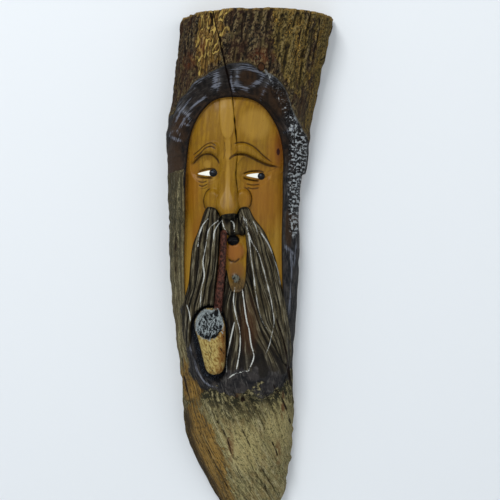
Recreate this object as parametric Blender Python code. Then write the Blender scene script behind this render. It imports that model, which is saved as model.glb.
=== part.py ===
"""Tree face wall carving: a split limb, flat behind, with a bearded face and its pipe carved in front.

One solid. +Z is up and the carving faces -Y. The sawn back lies in the plane Y = 0, and the origin is
on it, at the place where the carving hangs. HEIGHT and the other sizes at the top are in metres. The
carving itself is drawn in millimetres of a 450 mm piece, with heights measured up from the broken lower
tip and widths from the plumb line through the hanging place. It keeps its proportions when HEIGHT changes.
"""

import bmesh
import bpy
import numpy as np

# Driving sizes, in metres
HEIGHT = 0.450  # lower tip to sawn top
LOG_DEPTH = 0.062  # sawn back to bark, at the top
HANG_DROP = 0.095  # sawn top to the hanging place
RECESS_DEPTH = 0.0135  # bark to the cheeks
NOSE_REACH = 0.0125  # cheeks to the tip of the nose
STEM_DIAMETER = 0.0066
BOWL_RISE = 0.013  # beard to the front of the pipe's bowl
CRACK_WIDTH = 0.0022  # drying crack, at the bark

# The drawing
DRAWN_HEIGHT = 450.0
SCALE = HEIGHT / DRAWN_HEIGHT  # metres for each drawn millimetre
LOG_DEPTH_MM = LOG_DEPTH / SCALE
RECESS_MM = RECESS_DEPTH / SCALE
NOSE_MM = NOSE_REACH / SCALE
STEM_MM = STEM_DIAMETER / SCALE
BOWL_MM = BOWL_RISE / SCALE
CRACK_MM = CRACK_WIDTH / SCALE

# Mesh: the carving is worked out on a fine grid and then thinned to facets
COLUMNS = 220
ROWS = 500
FACETS = 9600
BACK_SNAP = 0.0004  # what the thinning may lift off the flat back

# Outline seen from the front, as (height, place across), from the tip up
LEFT_EDGE = (
    (0, -9), (20, -21), (41, -33), (63, -44), (75, -48.5), (88, -51.5), (128, -54), (171, -59.5),
    (214, -64), (279, -65.7), (311, -66.6), (344, -68.4), (355, -66.6), (387, -61.2), (419, -57.6),
    (441, -54.9), (450, -52.6),
)
RIGHT_EDGE = (
    (0, 24), (20, 36), (31, 39.6), (45, 41.4), (63, 45), (106, 45.9), (149, 45.9), (171, 47.7),
    (235, 51.3), (279, 51.3), (309, 54.2), (313, 58), (340, 60.8), (355, 62.1), (387, 68.4),
    (419, 74.7), (441, 80.1), (450, 81.5),
)
# Depth of the limb from back to bark, as shares of the depth at the top
DEPTH_SHARES = (
    (0, 0.10), (15, 0.25), (30, 0.42), (60, 0.62), (100, 0.74), (150, 0.82), (250, 0.91),
    (350, 0.97), (400, 1.0), (450, 1.0),
)
TIP_RAGGED_MM = 9.0  # how far the broken lower end runs up between its splinters
RIM_CHAMFER_MM = 1.2

# The arched opening that holds face and beard, counter-clockwise from the lower left
OPENING = (
    (-41, 130), (-30, 122), (-12, 120), (6, 116), (22, 116), (34, 124), (41, 140), (41, 165),
    (39, 185), (37, 203), (36, 234), (36, 260), (36.8, 287), (36.8, 304), (37.3, 321), (36, 334.5),
    (32.5, 347.6), (26.4, 359), (19.4, 367.7), (11.6, 372.9), (2.8, 375.5), (-7.6, 376),
    (-16.3, 375.5), (-25.1, 372.9), (-33.8, 365.1), (-40.8, 354.6), (-45.1, 343.3), (-47.7, 330.2),
    (-49.5, 312.7), (-50.3, 295), (-50.3, 273.5), (-51.2, 243), (-51.2, 217), (-50.5, 199),
    (-50, 180), (-47.5, 163), (-44, 146),
)
# The hood: the band cut down from the bark to the opening. Its outline runs past the limb's sides.
HOOD = (
    (-78, 311), (-78, 356), (-61, 363), (-56, 374), (-47.5, 380.5), (-41.5, 388.8), (-30.8, 393.6),
    (-21.5, 398.2), (-11.2, 402), (-1.9, 403), (7.5, 402), (17.7, 395), (29.5, 391), (38, 381.3),
    (44, 364.6), (55, 346), (64, 336), (76, 330), (76, 150), (44, 136), (30, 180), (0, 250),
    (-30, 311),
)
HOOD_LIP_MM = 5.5  # the hood stands this far over the edge of the forehead
HOOD_SCOOPS = 9  # gouge cuts side by side over the arch, counted for a full circle
HOOD_SCOOP_MM = 1.8
HOOD_CENTRE = (-7, 325)
FACE_MIDDLE = -7.0
FACE_HALF_WIDTH = 44.0
EDGE_DROP_MM = 15.0  # the face curves back this far at the sides of the opening
EDGE_ROUND_MM = 2.4
# Depth of the opening under the bark, as shares of the depth at the cheeks
SINK_SHARES = (
    (100, 0.0), (118, 0.02), (130, 0.14), (145, 0.32), (160, 0.48), (190, 0.68), (220, 0.85),
    (250, 0.96), (270, 1.0), (290, 1.03), (305, 1.06), (318, 0.98), (336, 0.86), (350, 0.94),
    (365, 1.10), (376, 1.32), (390, 1.45),
)

# Face
NOSE_OUTLINE = (
    (-16.5, 327), (-19, 312), (-21, 297), (-23, 285), (-22.4, 279.4), (-19.6, 274.6),
    (-16.6, 270.8), (-13.5, 269.1), (-9.8, 269.1), (-6.2, 271), (-3.4, 275), (-1.8, 280), (-2, 286),
    (-3.2, 297), (-4.4, 312), (-6, 327),
)
NOSE_SHARES = ((268, 0.84), (272, 0.97), (277, 1.0), (284, 0.86), (297, 0.55), (312, 0.29), (327, 0.05))
NOSE_FLANK = ((268, 4.0), (276, 4.6), (286, 5.4), (297, 7.0), (327, 6.0))  # width of the sloping flank
# Centre across and up, half width, half height
NOSTRILS = ((-28.2, 287.4, 5.3, 10.0), (3.3, 287.4, 5.3, 9.8))
NOSTRIL_RISE_MM = 3.9
LEFT_BROW = (
    (-44.5, 318.5), (-41.5, 325.5), (-36, 331.1), (-29.3, 335.8), (-22.7, 336.3), (-19.4, 333),
    (-19.3, 326.5), (-21.8, 322.3), (-26.4, 325.8), (-33.3, 325.6), (-39, 321.6),
)
RIGHT_BROW = (
    (-9.6, 322.3), (-7, 328.5), (-4.2, 334.4), (3.5, 335.3), (11, 331.7), (19.3, 324.1),
    (28.8, 318.2), (34.5, 316.2), (32.5, 315.2), (21.3, 317.2), (11.9, 321.5), (3.5, 325.1),
    (-4.9, 325.5),
)
BROW_RISE_MM = 2.4
BROW_FOLDS = (
    ((-42.5, 321.5), (-36.5, 327.3), (-30, 331.5), (-24.5, 332.3), (-20.8, 330)),
    ((-43.6, 319.4), (-36, 324.6), (-29.5, 328.6), (-24, 328.4), (-20.6, 325.4)),
)
EYES = ((-30.6, 309.6, 9.8, 4.1), (11.0, 307.3, 10.6, 4.2))
EYE_SOCKET_MM = 2.2
EYEBALL_MM = 1.5
LID_WIDTH_MM = 1.5
LID_DEPTH_MM = 1.2
WRINKLES = (
    ((-38, 303.2), (-34, 302), (-29.5, 303.4)), ((-38, 299.8), (-33, 298.9), (-28.6, 301)),
    ((3.4, 301.8), (9, 300.4), (16.6, 301.4)), ((4.4, 298.2), (9.5, 296.4), (15.8, 298.2)),
)
WRINKLE_DEPTH_MM = 0.9
MOUTH = (-7.4, 251.5, 5.6, 4.8)
MOUTH_DEPTH_MM = 3.6
LOWER_LIP = (-6.0, 241.5, 9.0, 9.5)
LOWER_LIP_RISE_MM = 2.0
SMILE = ((-12.5, 235.4), (-9, 233.4), (-5, 233.2), (-1.2, 236.2))
CHIN = (-5.0, 225.0, 8.0, 9.5)
CHIN_RISE_MM = 1.2
SOUL_PATCH = (-5.4, 218.3, 4.2, 4.4)
MOUTH_HOLLOW_MM = 2.6  # the flesh round the mouth lies this far under the cheeks

# Beard and moustache: outline, then the two side lines that its locks follow, as (height, place across)
LEFT_LOCKS = (
    (-26, 280), (-30.8, 279.2), (-34.3, 271), (-37.8, 259.4), (-42.6, 247.3), (-44.7, 232.6),
    (-46.5, 213.6), (-50.2, 200.6), (-52.5, 188), (-52, 172), (-49, 158), (-45, 160), (-43, 172),
    (-40, 184), (-32, 190), (-24.4, 190), (-22.4, 208.4), (-20.6, 225.7), (-19.4, 243),
    (-18, 258.6), (-18.6, 271), (-21.6, 277.8),
)
LEFT_LOCKS_OUTER = (
    (150, -52), (172, -53), (191, -51.5), (214, -47), (233, -45), (247, -43), (259, -38),
    (271, -34), (280, -31),
)
LEFT_LOCKS_INNER = (
    (150, -36), (172, -30), (192, -24.5), (226, -20.6), (243, -19.4), (259, -18.4), (280, -18),
)
RIGHT_LOCKS = (
    (1.4, 280), (-2.4, 277.8), (-4, 271), (-0.6, 264), (3, 257), (4.6, 243), (8.1, 219.6),
    (10.7, 205), (15.4, 187), (21, 174), (28, 161), (36, 145), (42, 138), (45, 143), (43.5, 165),
    (40, 187), (36.5, 204), (33.2, 218.7), (29.7, 234.3), (24.9, 247.3), (19.3, 259.5),
    (10.9, 270.4), (6.2, 279),
)
RIGHT_LOCKS_INNER = (
    (120, 38), (145, 33), (161, 27), (174, 20), (187, 15), (205, 10.5), (220, 8), (243, 4.6),
    (258, 2), (270, -2), (280, -4),
)
RIGHT_LOCKS_OUTER = (
    (120, 48), (145, 45), (165, 43.5), (187, 40), (204, 36.5), (219, 33.2), (234, 29.7), (247, 25),
    (260, 19), (270, 11.4), (280, 7),
)
CHIN_LOCKS = (
    (-9, 222), (-13.5, 217), (-15.5, 205), (-17, 191), (-13, 172), (-13.5, 155), (-16.5, 135),
    (-14, 124), (3, 117), (20, 114), (36, 124), (44, 138), (36, 144), (28, 160), (20, 176),
    (14, 193), (9.5, 209), (7, 221), (3.5, 225), (-2, 220),
)
CHIN_LOCKS_LEFT = ((115, -22), (135, -20), (155, -16), (172, -14), (191, -14), (205, -13), (225, -10))
CHIN_LOCKS_RIGHT = ((115, 50), (138, 42), (160, 29), (176, 20), (193, 14), (209, 9.5), (225, 4))
UPPER_TUFT = (
    (-17, 273), (-20.5, 268), (-19.5, 261), (-13.5, 256.6), (-8, 255), (-3.5, 256.4), (1, 255.6),
    (4, 259), (1.5, 268), (-3.6, 274),
)
UPPER_TUFT_RISE_MM = 4.4
# Rise over the flesh at these heights, then the number of locks and their relief
MOUSTACHE_RISE = ((120, 1.0), (160, 2.2), (200, 3.4), (240, 5.2), (262, 7.0), (272, 6.4), (281, 4.6))
CHIN_BEARD_RISE = ((110, 0.2), (130, 0.8), (180, 1.8), (215, 1.5), (226, 0.2))
SIDE_LOCKS = 5
CHIN_LOCK_COUNT = 6
LOCK_RELIEF_MM = 1.3
LOCK_SWAY = 0.35  # sideways wander of a lock, in lock widths
LOCK_SWAY_LENGTH_MM = 46.0

# Pipe
STEM = ((-14.8, 262), (-15.2, 247), (-17, 228.5), (-18.8, 210), (-20.8, 190))
BOWL_OUTLINE = (
    (-41, 173), (-39.5, 165), (-36.4, 156), (-33, 145), (-30.5, 139), (-26.5, 136.2),
    (-21.5, 136.4), (-16.5, 141), (-14.3, 147), (-13.6, 157), (-13.6, 168), (-14, 179), (-17, 188),
    (-23, 193.2), (-31, 194), (-38, 189.5), (-41.8, 181.5),
)
BOWL_AXIS = ((130, -23.5), (145, -24), (170, -27.2), (195, -28))
BOWL_HALF_WIDTH = ((130, 6), (137, 7.5), (145, 9.6), (158, 11.6), (172, 13.6), (195, 14))
# Front of the bowl, as shares of its rise
BOWL_PROFILE = ((130, 0.86), (142, 0.95), (166, 1.0), (176, 0.94), (186, 0.74), (196, 0.5))
RIM = (-28.2, 179.6, 12.6, 13.6)
RIM_DEPTH_MM = 1.4
ASH_RISE_MM = 2.4
PIPE_HOLLOW_MM = 5.0  # the pocket cut round the bowl
PIPE_HOLLOW_WIDTH_MM = 9.0  # left of the bowl and under it, and a third of that elsewhere

# Drying cracks, from the top down: line, width as a share of CRACK_WIDTH, and depth
LONG_CRACK = (
    (-25.2, 452), (-23.5, 439.2), (-19.2, 425.6), (-16.7, 411.9), (-13.7, 400), (-10.7, 388),
    (-8.2, 376), (-6.8, 362), (-5.4, 347.7), (-3.6, 328), (-4.6, 316), (-4.9, 305.6),
    (-3.2, 292.4), (-2.6, 280),
)
CRACKS = (
    (LONG_CRACK, 1.0, 5.0),
    (((29, 186), (36, 165), (41, 142), (43.5, 112)), 1.1, 4.0),
    (((23, 98), (29, 80), (38, 58), (42, 48)), 1.2, 4.0),
    (((3, 86), (14, 55), (24, 22)), 0.7, 2.5),
)
CRACK_TAPER = 0.08  # share of a crack's length over which each end closes

# One line of the grid follows the long crack and runs on down to the tip
GRID_LINE = ((0, 8), (100, 0), (200, -6)) + tuple((z, x) for x, z in reversed(LONG_CRACK))

# Natural surface
GRAIN_TURN_Z = 165.0  # under this height the fibres run off to the right
GRAIN_SLOPE = 0.40
FURROW_SPACING_MM = 9.0
FURROW_LENGTH_MM = 70.0
FURROW_RELIEF_MM = 1.1
NOISE_SEED = 11


def ease(low, high, value):
    """0 under low, 1 over high, and a smooth rise between them."""
    t = np.clip((value - low) / (high - low), 0.0, 1.0)
    return t * t * (3.0 - 2.0 * t)


def smooth_line(points, steps=6, closed=False):
    """Places along a smooth curve through the points."""
    p = np.array(points, float)
    if closed:
        p = np.vstack([p[-1:], p, p[:2]])
    else:
        p = np.vstack([2 * p[:1] - p[1:2], p, 2 * p[-1:] - p[-2:-1]])
    t = np.linspace(0, 1, steps, endpoint=False)[:, None]
    runs = [
        0.5 * (2 * b + (c - a) * t + (2 * a - 5 * b + 4 * c - d) * t**2 + (3 * b - a - 3 * c + d) * t**3)
        for a, b, c, d in zip(p[:-3], p[1:-2], p[2:-1], p[3:])
    ]
    return np.vstack([*runs, p[-2:-1]])


def profile(points, height):
    """The value at each height of a smooth line through (height, value) points."""
    line = smooth_line(points)
    return np.interp(height, line[:, 0], line[:, 1])


def beside(x, z, line):
    """Distance from each place to a line of points, and how far along the line it is, from 0 to 1."""
    near = np.full(x.shape, 1e9)
    along = np.zeros(x.shape)
    last = len(line) - 1
    for i, (a, b) in enumerate(zip(line[:-1], line[1:])):
        run = b - a
        share = ((x - a[0]) * run[0] + (z - a[1]) * run[1]) / max(run @ run, 1e-9)
        share = np.clip(share, 0, 1)
        far = np.hypot(x - a[0] - share * run[0], z - a[1] - share * run[1])
        along = np.where(far < near, (i + share) / last, along)
        near = np.minimum(far, near)
    return near, along


def inside(x, z, points, steps=4):
    """How deep each place lies inside a smooth closed outline. It is negative outside."""
    line = smooth_line(points, steps, closed=True)
    crossings = np.zeros(x.shape, int)
    for a, b in zip(line[:-1], line[1:]):
        spans = (a[1] > z) != (b[1] > z)
        rise = b[1] - a[1]
        cut = a[0] + (z - a[1]) * (b[0] - a[0]) / (rise if abs(rise) > 1e-9 else 1e-9)
        crossings += spans & (x < cut)
    near, _ = beside(x, z, line)
    return np.where(crossings % 2 == 1, near, -near)


def dome(x, z, oval):
    """1 at the middle of an oval and 0 at its rim, shaped like half an egg."""
    cx, cz, half_width, half_height = oval
    r2 = ((x - cx) / half_width) ** 2 + ((z - cz) / half_height) ** 2
    return np.sqrt(np.clip(1.0 - r2, 0.0, 1.0))


def wander(a, b, seed=0):
    """Smooth random relief between -1 and 1 that changes over about 1 unit of a and of b."""
    cells = np.random.default_rng(NOISE_SEED + seed).uniform(-1, 1, (64, 64))
    fa, fb = np.floor(a), np.floor(b)
    ia, ib = fa.astype(int) % 64, fb.astype(int) % 64
    ta, tb = a - fa, b - fb
    ta, tb = ta * ta * (3 - 2 * ta), tb * tb * (3 - 2 * tb)
    ja, jb = (ia + 1) % 64, (ib + 1) % 64
    low = cells[ia, ib] * (1 - ta) + cells[ja, ib] * ta
    high = cells[ia, jb] * (1 - ta) + cells[ja, jb] * ta
    return low * (1 - tb) + high * tb


def limb_surface(across, z):
    """Place across, and height of the natural bark over the back. across runs from -1 to 1."""
    left, right = profile(LEFT_EDGE, z), profile(RIGHT_EDGE, z)
    sine = (profile(GRID_LINE, z) - (left + right) / 2) / ((right - left) / 2)
    shift = np.arcsin(np.clip(sine, -0.9, 0.9)) * 2 / np.pi
    angle = (across + shift * (1 - np.abs(across))) * np.pi / 2
    x = (left + right) / 2 + (right - left) / 2 * np.sin(angle)
    deep = profile(DEPTH_SHARES, z) * LOG_DEPTH_MM * np.cos(angle)
    return x, deep


def furrows(x, z):
    """Long shallow furrows of the weathered wood, along the fibres."""
    fibre = x - GRAIN_SLOPE * np.maximum(GRAIN_TURN_Z - z, 0)
    coarse = wander(fibre / FURROW_SPACING_MM, z / FURROW_LENGTH_MM)
    fine = wander(fibre / (FURROW_SPACING_MM / 2), z / (FURROW_LENGTH_MM / 2), 1)
    return FURROW_RELIEF_MM * (coarse - 0.5 * np.abs(fine))


def face_surface(x, z, depth_inside):
    """Cheeks and forehead, before anything stands out of them."""
    middle = profile(DEPTH_SHARES, z) * LOG_DEPTH_MM - profile(SINK_SHARES, z) * RECESS_MM
    out = np.abs(x - FACE_MIDDLE) / FACE_HALF_WIDTH
    edge = EDGE_ROUND_MM * (1 - np.sqrt(np.clip(depth_inside / 9.0, 0, 1))) * ease(190, 240, z)
    return middle - EDGE_DROP_MM * out**2.3 - edge


def cut_along(x, z, line, width, depth):
    """A V cut along a smooth line, shallower to its ends."""
    far, along = beside(x, z, smooth_line(line))
    ends = ease(0, 0.15, along) * ease(0, 0.15, 1 - along)
    return depth * ends * np.clip(1 - 2 * far / width, 0, 1)


def features(x, z):
    """What stands out of the face or is cut into it."""
    brows = np.maximum(inside(x, z, LEFT_BROW), inside(x, z, RIGHT_BROW))
    rise = BROW_RISE_MM * ease(-0.8, 3.0, brows)
    for line in BROW_FOLDS:
        rise -= cut_along(x, z, line, 2.2, 1.0)
    for eye in EYES:
        cx, cz, half_length, half_height = eye
        socket = dome(x, z, (cx, cz + 5, half_length * 1.45, half_height * 3.4))
        rise -= EYE_SOCKET_MM * socket * (1 - ease(-2.0, 1.0, brows))
        out = np.abs(x - cx) / half_length
        r = np.hypot(out, (z - cz) / (half_height * (1 - 0.45 * np.minimum(out, 1))))
        rise += EYEBALL_MM * np.sqrt(np.clip(1 - r**2, 0, 1))
        rise -= LID_DEPTH_MM * np.clip(1 - np.abs(r - 1.05) * half_height / LID_WIDTH_MM, 0, 1)
    for line in WRINKLES:
        rise -= cut_along(x, z, line, 2.4, WRINKLE_DEPTH_MM)
    for cx, cz, half_width, half_height in NOSTRILS:
        r = np.hypot((x - cx) / half_width, (z - cz) / half_height)
        rise += NOSTRIL_RISE_MM * ease(0, 1, np.clip(1.5 - 1.5 * r, 0, 1))
        rise -= 1.3 * np.clip(1 - np.abs(r - 1.08) * half_width / 1.5, 0, 1)
    share = np.clip(inside(x, z, NOSE_OUTLINE) / profile(NOSE_FLANK, z), 0, 1)
    full = np.sqrt(1 - (1 - share) ** 2)
    ball = 1 - ease(282, 305, z)
    nose = NOSE_MM * profile(NOSE_SHARES, z) * (share + (full - share) * (0.35 + 0.65 * ball))
    return np.maximum(rise, nose + np.minimum(rise, 0) * (1 - ease(0, 0.5, share)))


def locks(x, z, left_line, right_line, count, seed):
    """Rounded locks of hair side by side between two lines, with sharp grooves between them."""
    left, right = profile(left_line, z), profile(right_line, z)
    place = (x - left) / np.maximum(right - left, 1e-6) * count
    place = place + LOCK_SWAY * wander(place / 2 + seed, z / LOCK_SWAY_LENGTH_MM, 3 + seed)
    ridge = 1 - np.abs(2 * (place - np.floor(place)) - 1)
    return LOCK_RELIEF_MM * (np.sqrt(ridge) - 0.6)


def beard(x, z, face, flesh):
    """The mouth, the moustache's two sides, the beard under the chin and the tuft under the nose."""
    round_mouth = ((-21, 262), (-24, 240), (-24, 212), (-18, 205), (8, 205), (8, 225), (5, 245), (4, 262))
    h = face - MOUTH_HOLLOW_MM * ease(0, 5, inside(x, z, round_mouth))
    h = h + LOWER_LIP_RISE_MM * ease(0, 1, dome(x, z, LOWER_LIP))
    h = h + CHIN_RISE_MM * ease(0, 1, dome(x, z, CHIN))
    h = h - cut_along(x, z, SMILE, 2.4, 1.2) - MOUTH_DEPTH_MM * dome(x, z, MOUTH)
    sides = (
        (CHIN_LOCKS, CHIN_LOCKS_LEFT, CHIN_LOCKS_RIGHT, CHIN_LOCK_COUNT, CHIN_BEARD_RISE, 4.0),
        (LEFT_LOCKS, LEFT_LOCKS_OUTER, LEFT_LOCKS_INNER, SIDE_LOCKS, MOUSTACHE_RISE, 3.4),
        (RIGHT_LOCKS, RIGHT_LOCKS_INNER, RIGHT_LOCKS_OUTER, SIDE_LOCKS, MOUSTACHE_RISE, 3.4),
    )
    for seed, (outline, left, right, count, rises, round_mm) in enumerate(sides):
        deep = inside(x, z, outline)
        share = np.clip(deep / round_mm, 0, 1)
        top = flesh + profile(rises, z) * np.sqrt(1 - (1 - share) ** 2)
        top = top + locks(x, z, left, right, count, seed)
        h = h + (np.maximum(top, flesh - 1.0) - h) * ease(-0.4, 1.6, deep)
    h = h + 1.4 * dome(x, z, SOUL_PATCH)
    tuft = inside(x, z, UPPER_TUFT)
    strands = np.abs(wander(x / 2.6, z / 18, 9))
    top = flesh + UPPER_TUFT_RISE_MM * ease(0, 3.5, tuft) - 1.6 * strands
    return np.where(tuft > 0, np.maximum(h, top), h)


def pipe(x, z, h, flesh):
    """The stem lying over the beard, and the bowl with its ash."""
    deep = inside(x, z, BOWL_OUTLINE)
    low_left = (1 - ease(160, 188, z)) * (1 - ease(-24, -10, x))
    pocket = 1 - ease(0.15, 1.0, -deep / PIPE_HOLLOW_WIDTH_MM / (0.33 + 0.67 * low_left))
    foot = flesh - PIPE_HOLLOW_MM
    h = h + (np.minimum(h, foot) - h) * pocket
    far, along = beside(x, z, smooth_line(STEM))
    radius = STEM_MM / 2 * (0.9 + 0.2 * along)
    axis = flesh + 3.0 - 2.0 * along
    stem = axis + np.sqrt(np.clip(radius**2 - far**2, 0, None))
    h = np.where(far < radius, np.maximum(h, stem), h)
    across = np.clip((x - profile(BOWL_AXIS, z)) / profile(BOWL_HALF_WIDTH, z), -1, 1)
    section = 0.45 + 0.55 * np.sqrt(1 - across**2)
    front = foot + (BOWL_MM + PIPE_HOLLOW_MM) * profile(BOWL_PROFILE, z) * section
    front = front - 4.0 * (1 - np.sqrt(np.clip(deep / 4.0, 0, 1))) * (1 - ease(138, 158, z))
    mouth = dome(x, z, RIM)
    front = front - RIM_DEPTH_MM * ease(0.0, 0.4, mouth) + ASH_RISE_MM * mouth**2
    return h + (np.maximum(front, h) - h) * ease(-0.3, 1.2, deep)


def carved_surface(x, z, bark):
    """Height over the back of the finished front."""
    opening = inside(x, z, OPENING)
    hood = inside(x, z, HOOD)
    flesh = face_surface(x, z, opening)
    lip = flesh + HOOD_LIP_MM
    cut = np.clip(hood, 0, None) / np.maximum(np.clip(hood, 0, None) + np.clip(-opening, 0, None), 1e-6)
    turn = np.arctan2(z - HOOD_CENTRE[1], x - HOOD_CENTRE[0]) / (2 * np.pi) * HOOD_SCOOPS
    scoop = 1 - (2 * (turn - np.floor(turn)) - 1) ** 2
    hooded = np.minimum(bark, bark + (lip - bark) * cut**0.85)
    scoop = scoop * np.sqrt(np.clip(4 * cut * (1 - cut), 0, 1)) * ease(310, 335, z)
    hooded = hooded - HOOD_SCOOP_MM * scoop
    h = np.where(hood > 0, hooded, bark)
    inner = pipe(x, z, beard(x, z, flesh + features(x, z), flesh), flesh)
    inner = bark + (inner - bark) * ease(112, 136, z)
    h = h + (inner - h) * ease(-0.3, 2.0, opening)
    for line, width, depth in CRACKS:
        far, along = beside(x, z, smooth_line(line))
        ends = ease(0, CRACK_TAPER, 1 - along) * (1 if line is LONG_CRACK else ease(0, CRACK_TAPER, along))
        gap = width * ends * (1 - 0.5 * ease(0, 12, opening))
        h = h - depth * gap * np.clip(1 - far / (CRACK_MM * gap / 2 + 0.6), 0, 1)
    return h


def place_front(across, up):
    """The point of the finished front, in metres, for each place across (-1 to 1) and up (0 to 1)."""
    splinters = 0.5 + 0.5 * wander(across * 4 + 7, np.zeros(across.shape), 5)
    ragged = TIP_RAGGED_MM * splinters * (1 - across**2)
    z = ragged + (DRAWN_HEIGHT - ragged) * up
    x, bark = limb_surface(across, z)
    flank = np.sin(np.pi / 2 * np.clip((1 - np.abs(across)) * 6, 0, 1))
    relief = furrows(x, z)
    bark = bark + relief * flank
    h = carved_surface(x, z, bark)
    h = np.where(np.abs(across) > 0.999, 0.0, np.maximum(h, 1.5 * flank))
    h = h - RIM_CHAMFER_MM * flank * (1 - ease(0, RIM_CHAMFER_MM, DRAWN_HEIGHT - z))
    return np.stack([x * SCALE, -h * SCALE, z * SCALE - (HEIGHT - HANG_DROP)], axis=-1)


def grid_spread(share):
    """Draws the grid's columns and rows closer together over the face, from -1 to 1."""
    return 0.78 * share + 0.22 * share**3


def carve_log():
    """The whole piece as one closed mesh."""
    bm = bmesh.new()
    bmesh.ops.create_grid(bm, x_segments=COLUMNS, y_segments=ROWS, size=1.0)
    bm.verts.ensure_lookup_table()
    places = np.array([v.co[:2] for v in bm.verts])
    top_edges = [e for e in bm.edges if all(v.co.y > 0.9999 for v in e.verts)]
    bottom_edges = [e for e in bm.edges if all(v.co.y < -0.9999 for v in e.verts)]
    points = place_front(grid_spread(places[:, 0]), (places[:, 1] + 1) / 2)
    for vert, point in zip(bm.verts, points):
        vert.co = point
    for row in (top_edges, bottom_edges):
        made = bmesh.ops.extrude_edge_only(bm, edges=row)["geom"]
        for vert in (g for g in made if isinstance(g, bmesh.types.BMVert)):
            vert.co.y = 0.0
    bmesh.ops.remove_doubles(bm, verts=bm.verts, dist=1e-6)
    rim = [e for e in bm.edges if e.is_boundary]
    bmesh.ops.holes_fill(bm, edges=rim, sides=0)
    bmesh.ops.recalc_face_normals(bm, faces=bm.faces)
    bmesh.ops.triangulate(bm, faces=bm.faces)
    mesh = bpy.data.meshes.new("carved_log")
    bm.to_mesh(mesh)
    bm.free()
    return mesh


def thin_to_facets(obj, facets):
    """Leaves about this many triangles, most of them where the carving is finest, and a truly flat back."""
    thinner = obj.modifiers.new("thin", "DECIMATE")
    thinner.ratio = facets / len(obj.data.polygons)
    graph = bpy.context.evaluated_depsgraph_get()
    mesh = bpy.data.meshes.new_from_object(obj.evaluated_get(graph))
    obj.modifiers.clear()
    obj.data = mesh
    for vert in mesh.vertices:
        if vert.co.y > -BACK_SNAP:
            vert.co.y = 0.0


def carved_wood():
    """Weathered brown wood, the colour that shows most from a distance."""
    material = bpy.data.materials.new("carved_wood")
    material.use_nodes = True
    shader = material.node_tree.nodes["Principled BSDF"]
    shader.inputs["Base Color"].default_value = (0.22, 0.13, 0.06, 1.0)
    shader.inputs["Roughness"].default_value = 0.7
    shader.inputs["Metallic"].default_value = 0.0
    return material


def main():
    for obj in list(bpy.data.objects):
        bpy.data.objects.remove(obj)
    parts = bpy.data.collections.new("tree_face_carving")
    bpy.context.scene.collection.children.link(parts)
    carving = bpy.data.objects.new("carved_log", carve_log())
    parts.objects.link(carving)
    thin_to_facets(carving, FACETS)
    carving.data.materials.clear()
    carving.data.materials.append(carved_wood())


main()
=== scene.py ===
"""Looks of the tree face wall carving: a split limb, carved in front, stained, brushed and varnished.

Places and sizes are in millimetres of the real piece: across from the plumb line through the hanging
place, up from the broken lower tip, and height over the flat sawn back.
"""

import math

import bpy
import numpy as np
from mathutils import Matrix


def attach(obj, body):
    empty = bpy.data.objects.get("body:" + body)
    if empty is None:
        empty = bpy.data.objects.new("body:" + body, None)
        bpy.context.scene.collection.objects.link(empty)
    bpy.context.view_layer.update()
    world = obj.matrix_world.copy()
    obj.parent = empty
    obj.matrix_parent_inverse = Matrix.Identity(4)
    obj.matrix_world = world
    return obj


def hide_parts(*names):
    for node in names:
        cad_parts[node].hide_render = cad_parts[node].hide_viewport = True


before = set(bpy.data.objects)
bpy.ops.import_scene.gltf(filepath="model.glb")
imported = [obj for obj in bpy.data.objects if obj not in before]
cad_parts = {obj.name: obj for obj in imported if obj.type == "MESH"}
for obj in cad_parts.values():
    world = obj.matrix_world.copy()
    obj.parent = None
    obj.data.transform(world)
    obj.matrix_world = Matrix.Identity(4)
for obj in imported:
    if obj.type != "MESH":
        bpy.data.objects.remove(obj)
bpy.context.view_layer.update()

# The limb
# A length of a dry, curved limb, split down its middle so that the back is flat, sawn off square at
# the top and broken to a point below. The bark has gone and the outer wood is weathered, rough and
# furrowed along its fibres. It is one piece of wood, and everything that follows is carved in it.
HEIGHT = 450.0
LOG_DEPTH = 62.0
HANG_DROP = 95.0
LEFT_EDGE = (
    (0, -9), (20, -21), (41, -33), (63, -44), (75, -48.5), (88, -51.5), (128, -54), (171, -59.5),
    (214, -64), (279, -65.7), (311, -66.6), (344, -68.4), (355, -66.6), (387, -61.2), (419, -57.6),
    (441, -54.9), (450, -52.6),
)
RIGHT_EDGE = (
    (0, 24), (20, 36), (31, 39.6), (45, 41.4), (63, 45), (106, 45.9), (149, 45.9), (171, 47.7),
    (235, 51.3), (279, 51.3), (309, 54.2), (313, 58), (340, 60.8), (355, 62.1), (387, 68.4),
    (419, 74.7), (441, 80.1), (450, 81.5),
)
DEPTH_SHARES = (
    (0, 0.10), (15, 0.25), (30, 0.42), (60, 0.62), (100, 0.74), (150, 0.82), (250, 0.91),
    (350, 0.97), (400, 1.0), (450, 1.0),
)
TIP_RAGGED = 9.0
BARK_WAVES = 1.1
RIM_CHAMFER = 1.2
LEAST_THICKNESS = 1.5
EDGE_THICKNESS = 0.6
CRACK_NOTCH = (1.2, 1.4, 2.5)  # where the long crack meets the sawn end: shift, half width, depth
WELD = 0.000002  # metres
SMOOTH_UNDER = 55  # degrees
RIM_CHIPS = 0.7
FRAYED_UNDER = (98, 125)  # the right edge is frayed below, and whole above
FRAYING = 0.8
GRAIN_TURN = 165.0  # under this height the fibres run off to the right
GRAIN_SLOPE = 0.40
LONG_CRACK = (
    (-25.2, 452), (-23.5, 439.2), (-19.2, 425.6), (-16.7, 411.9), (-13.7, 400), (-10.7, 388),
    (-8.2, 376), (-6.8, 362), (-5.4, 347.7), (-3.6, 328), (-4.6, 316), (-4.9, 305.6),
    (-3.2, 292.4), (-2.6, 280),
)
COLUMNS = 250
ROWS = 368
END_ROWS = 12  # over the sawn end
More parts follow.
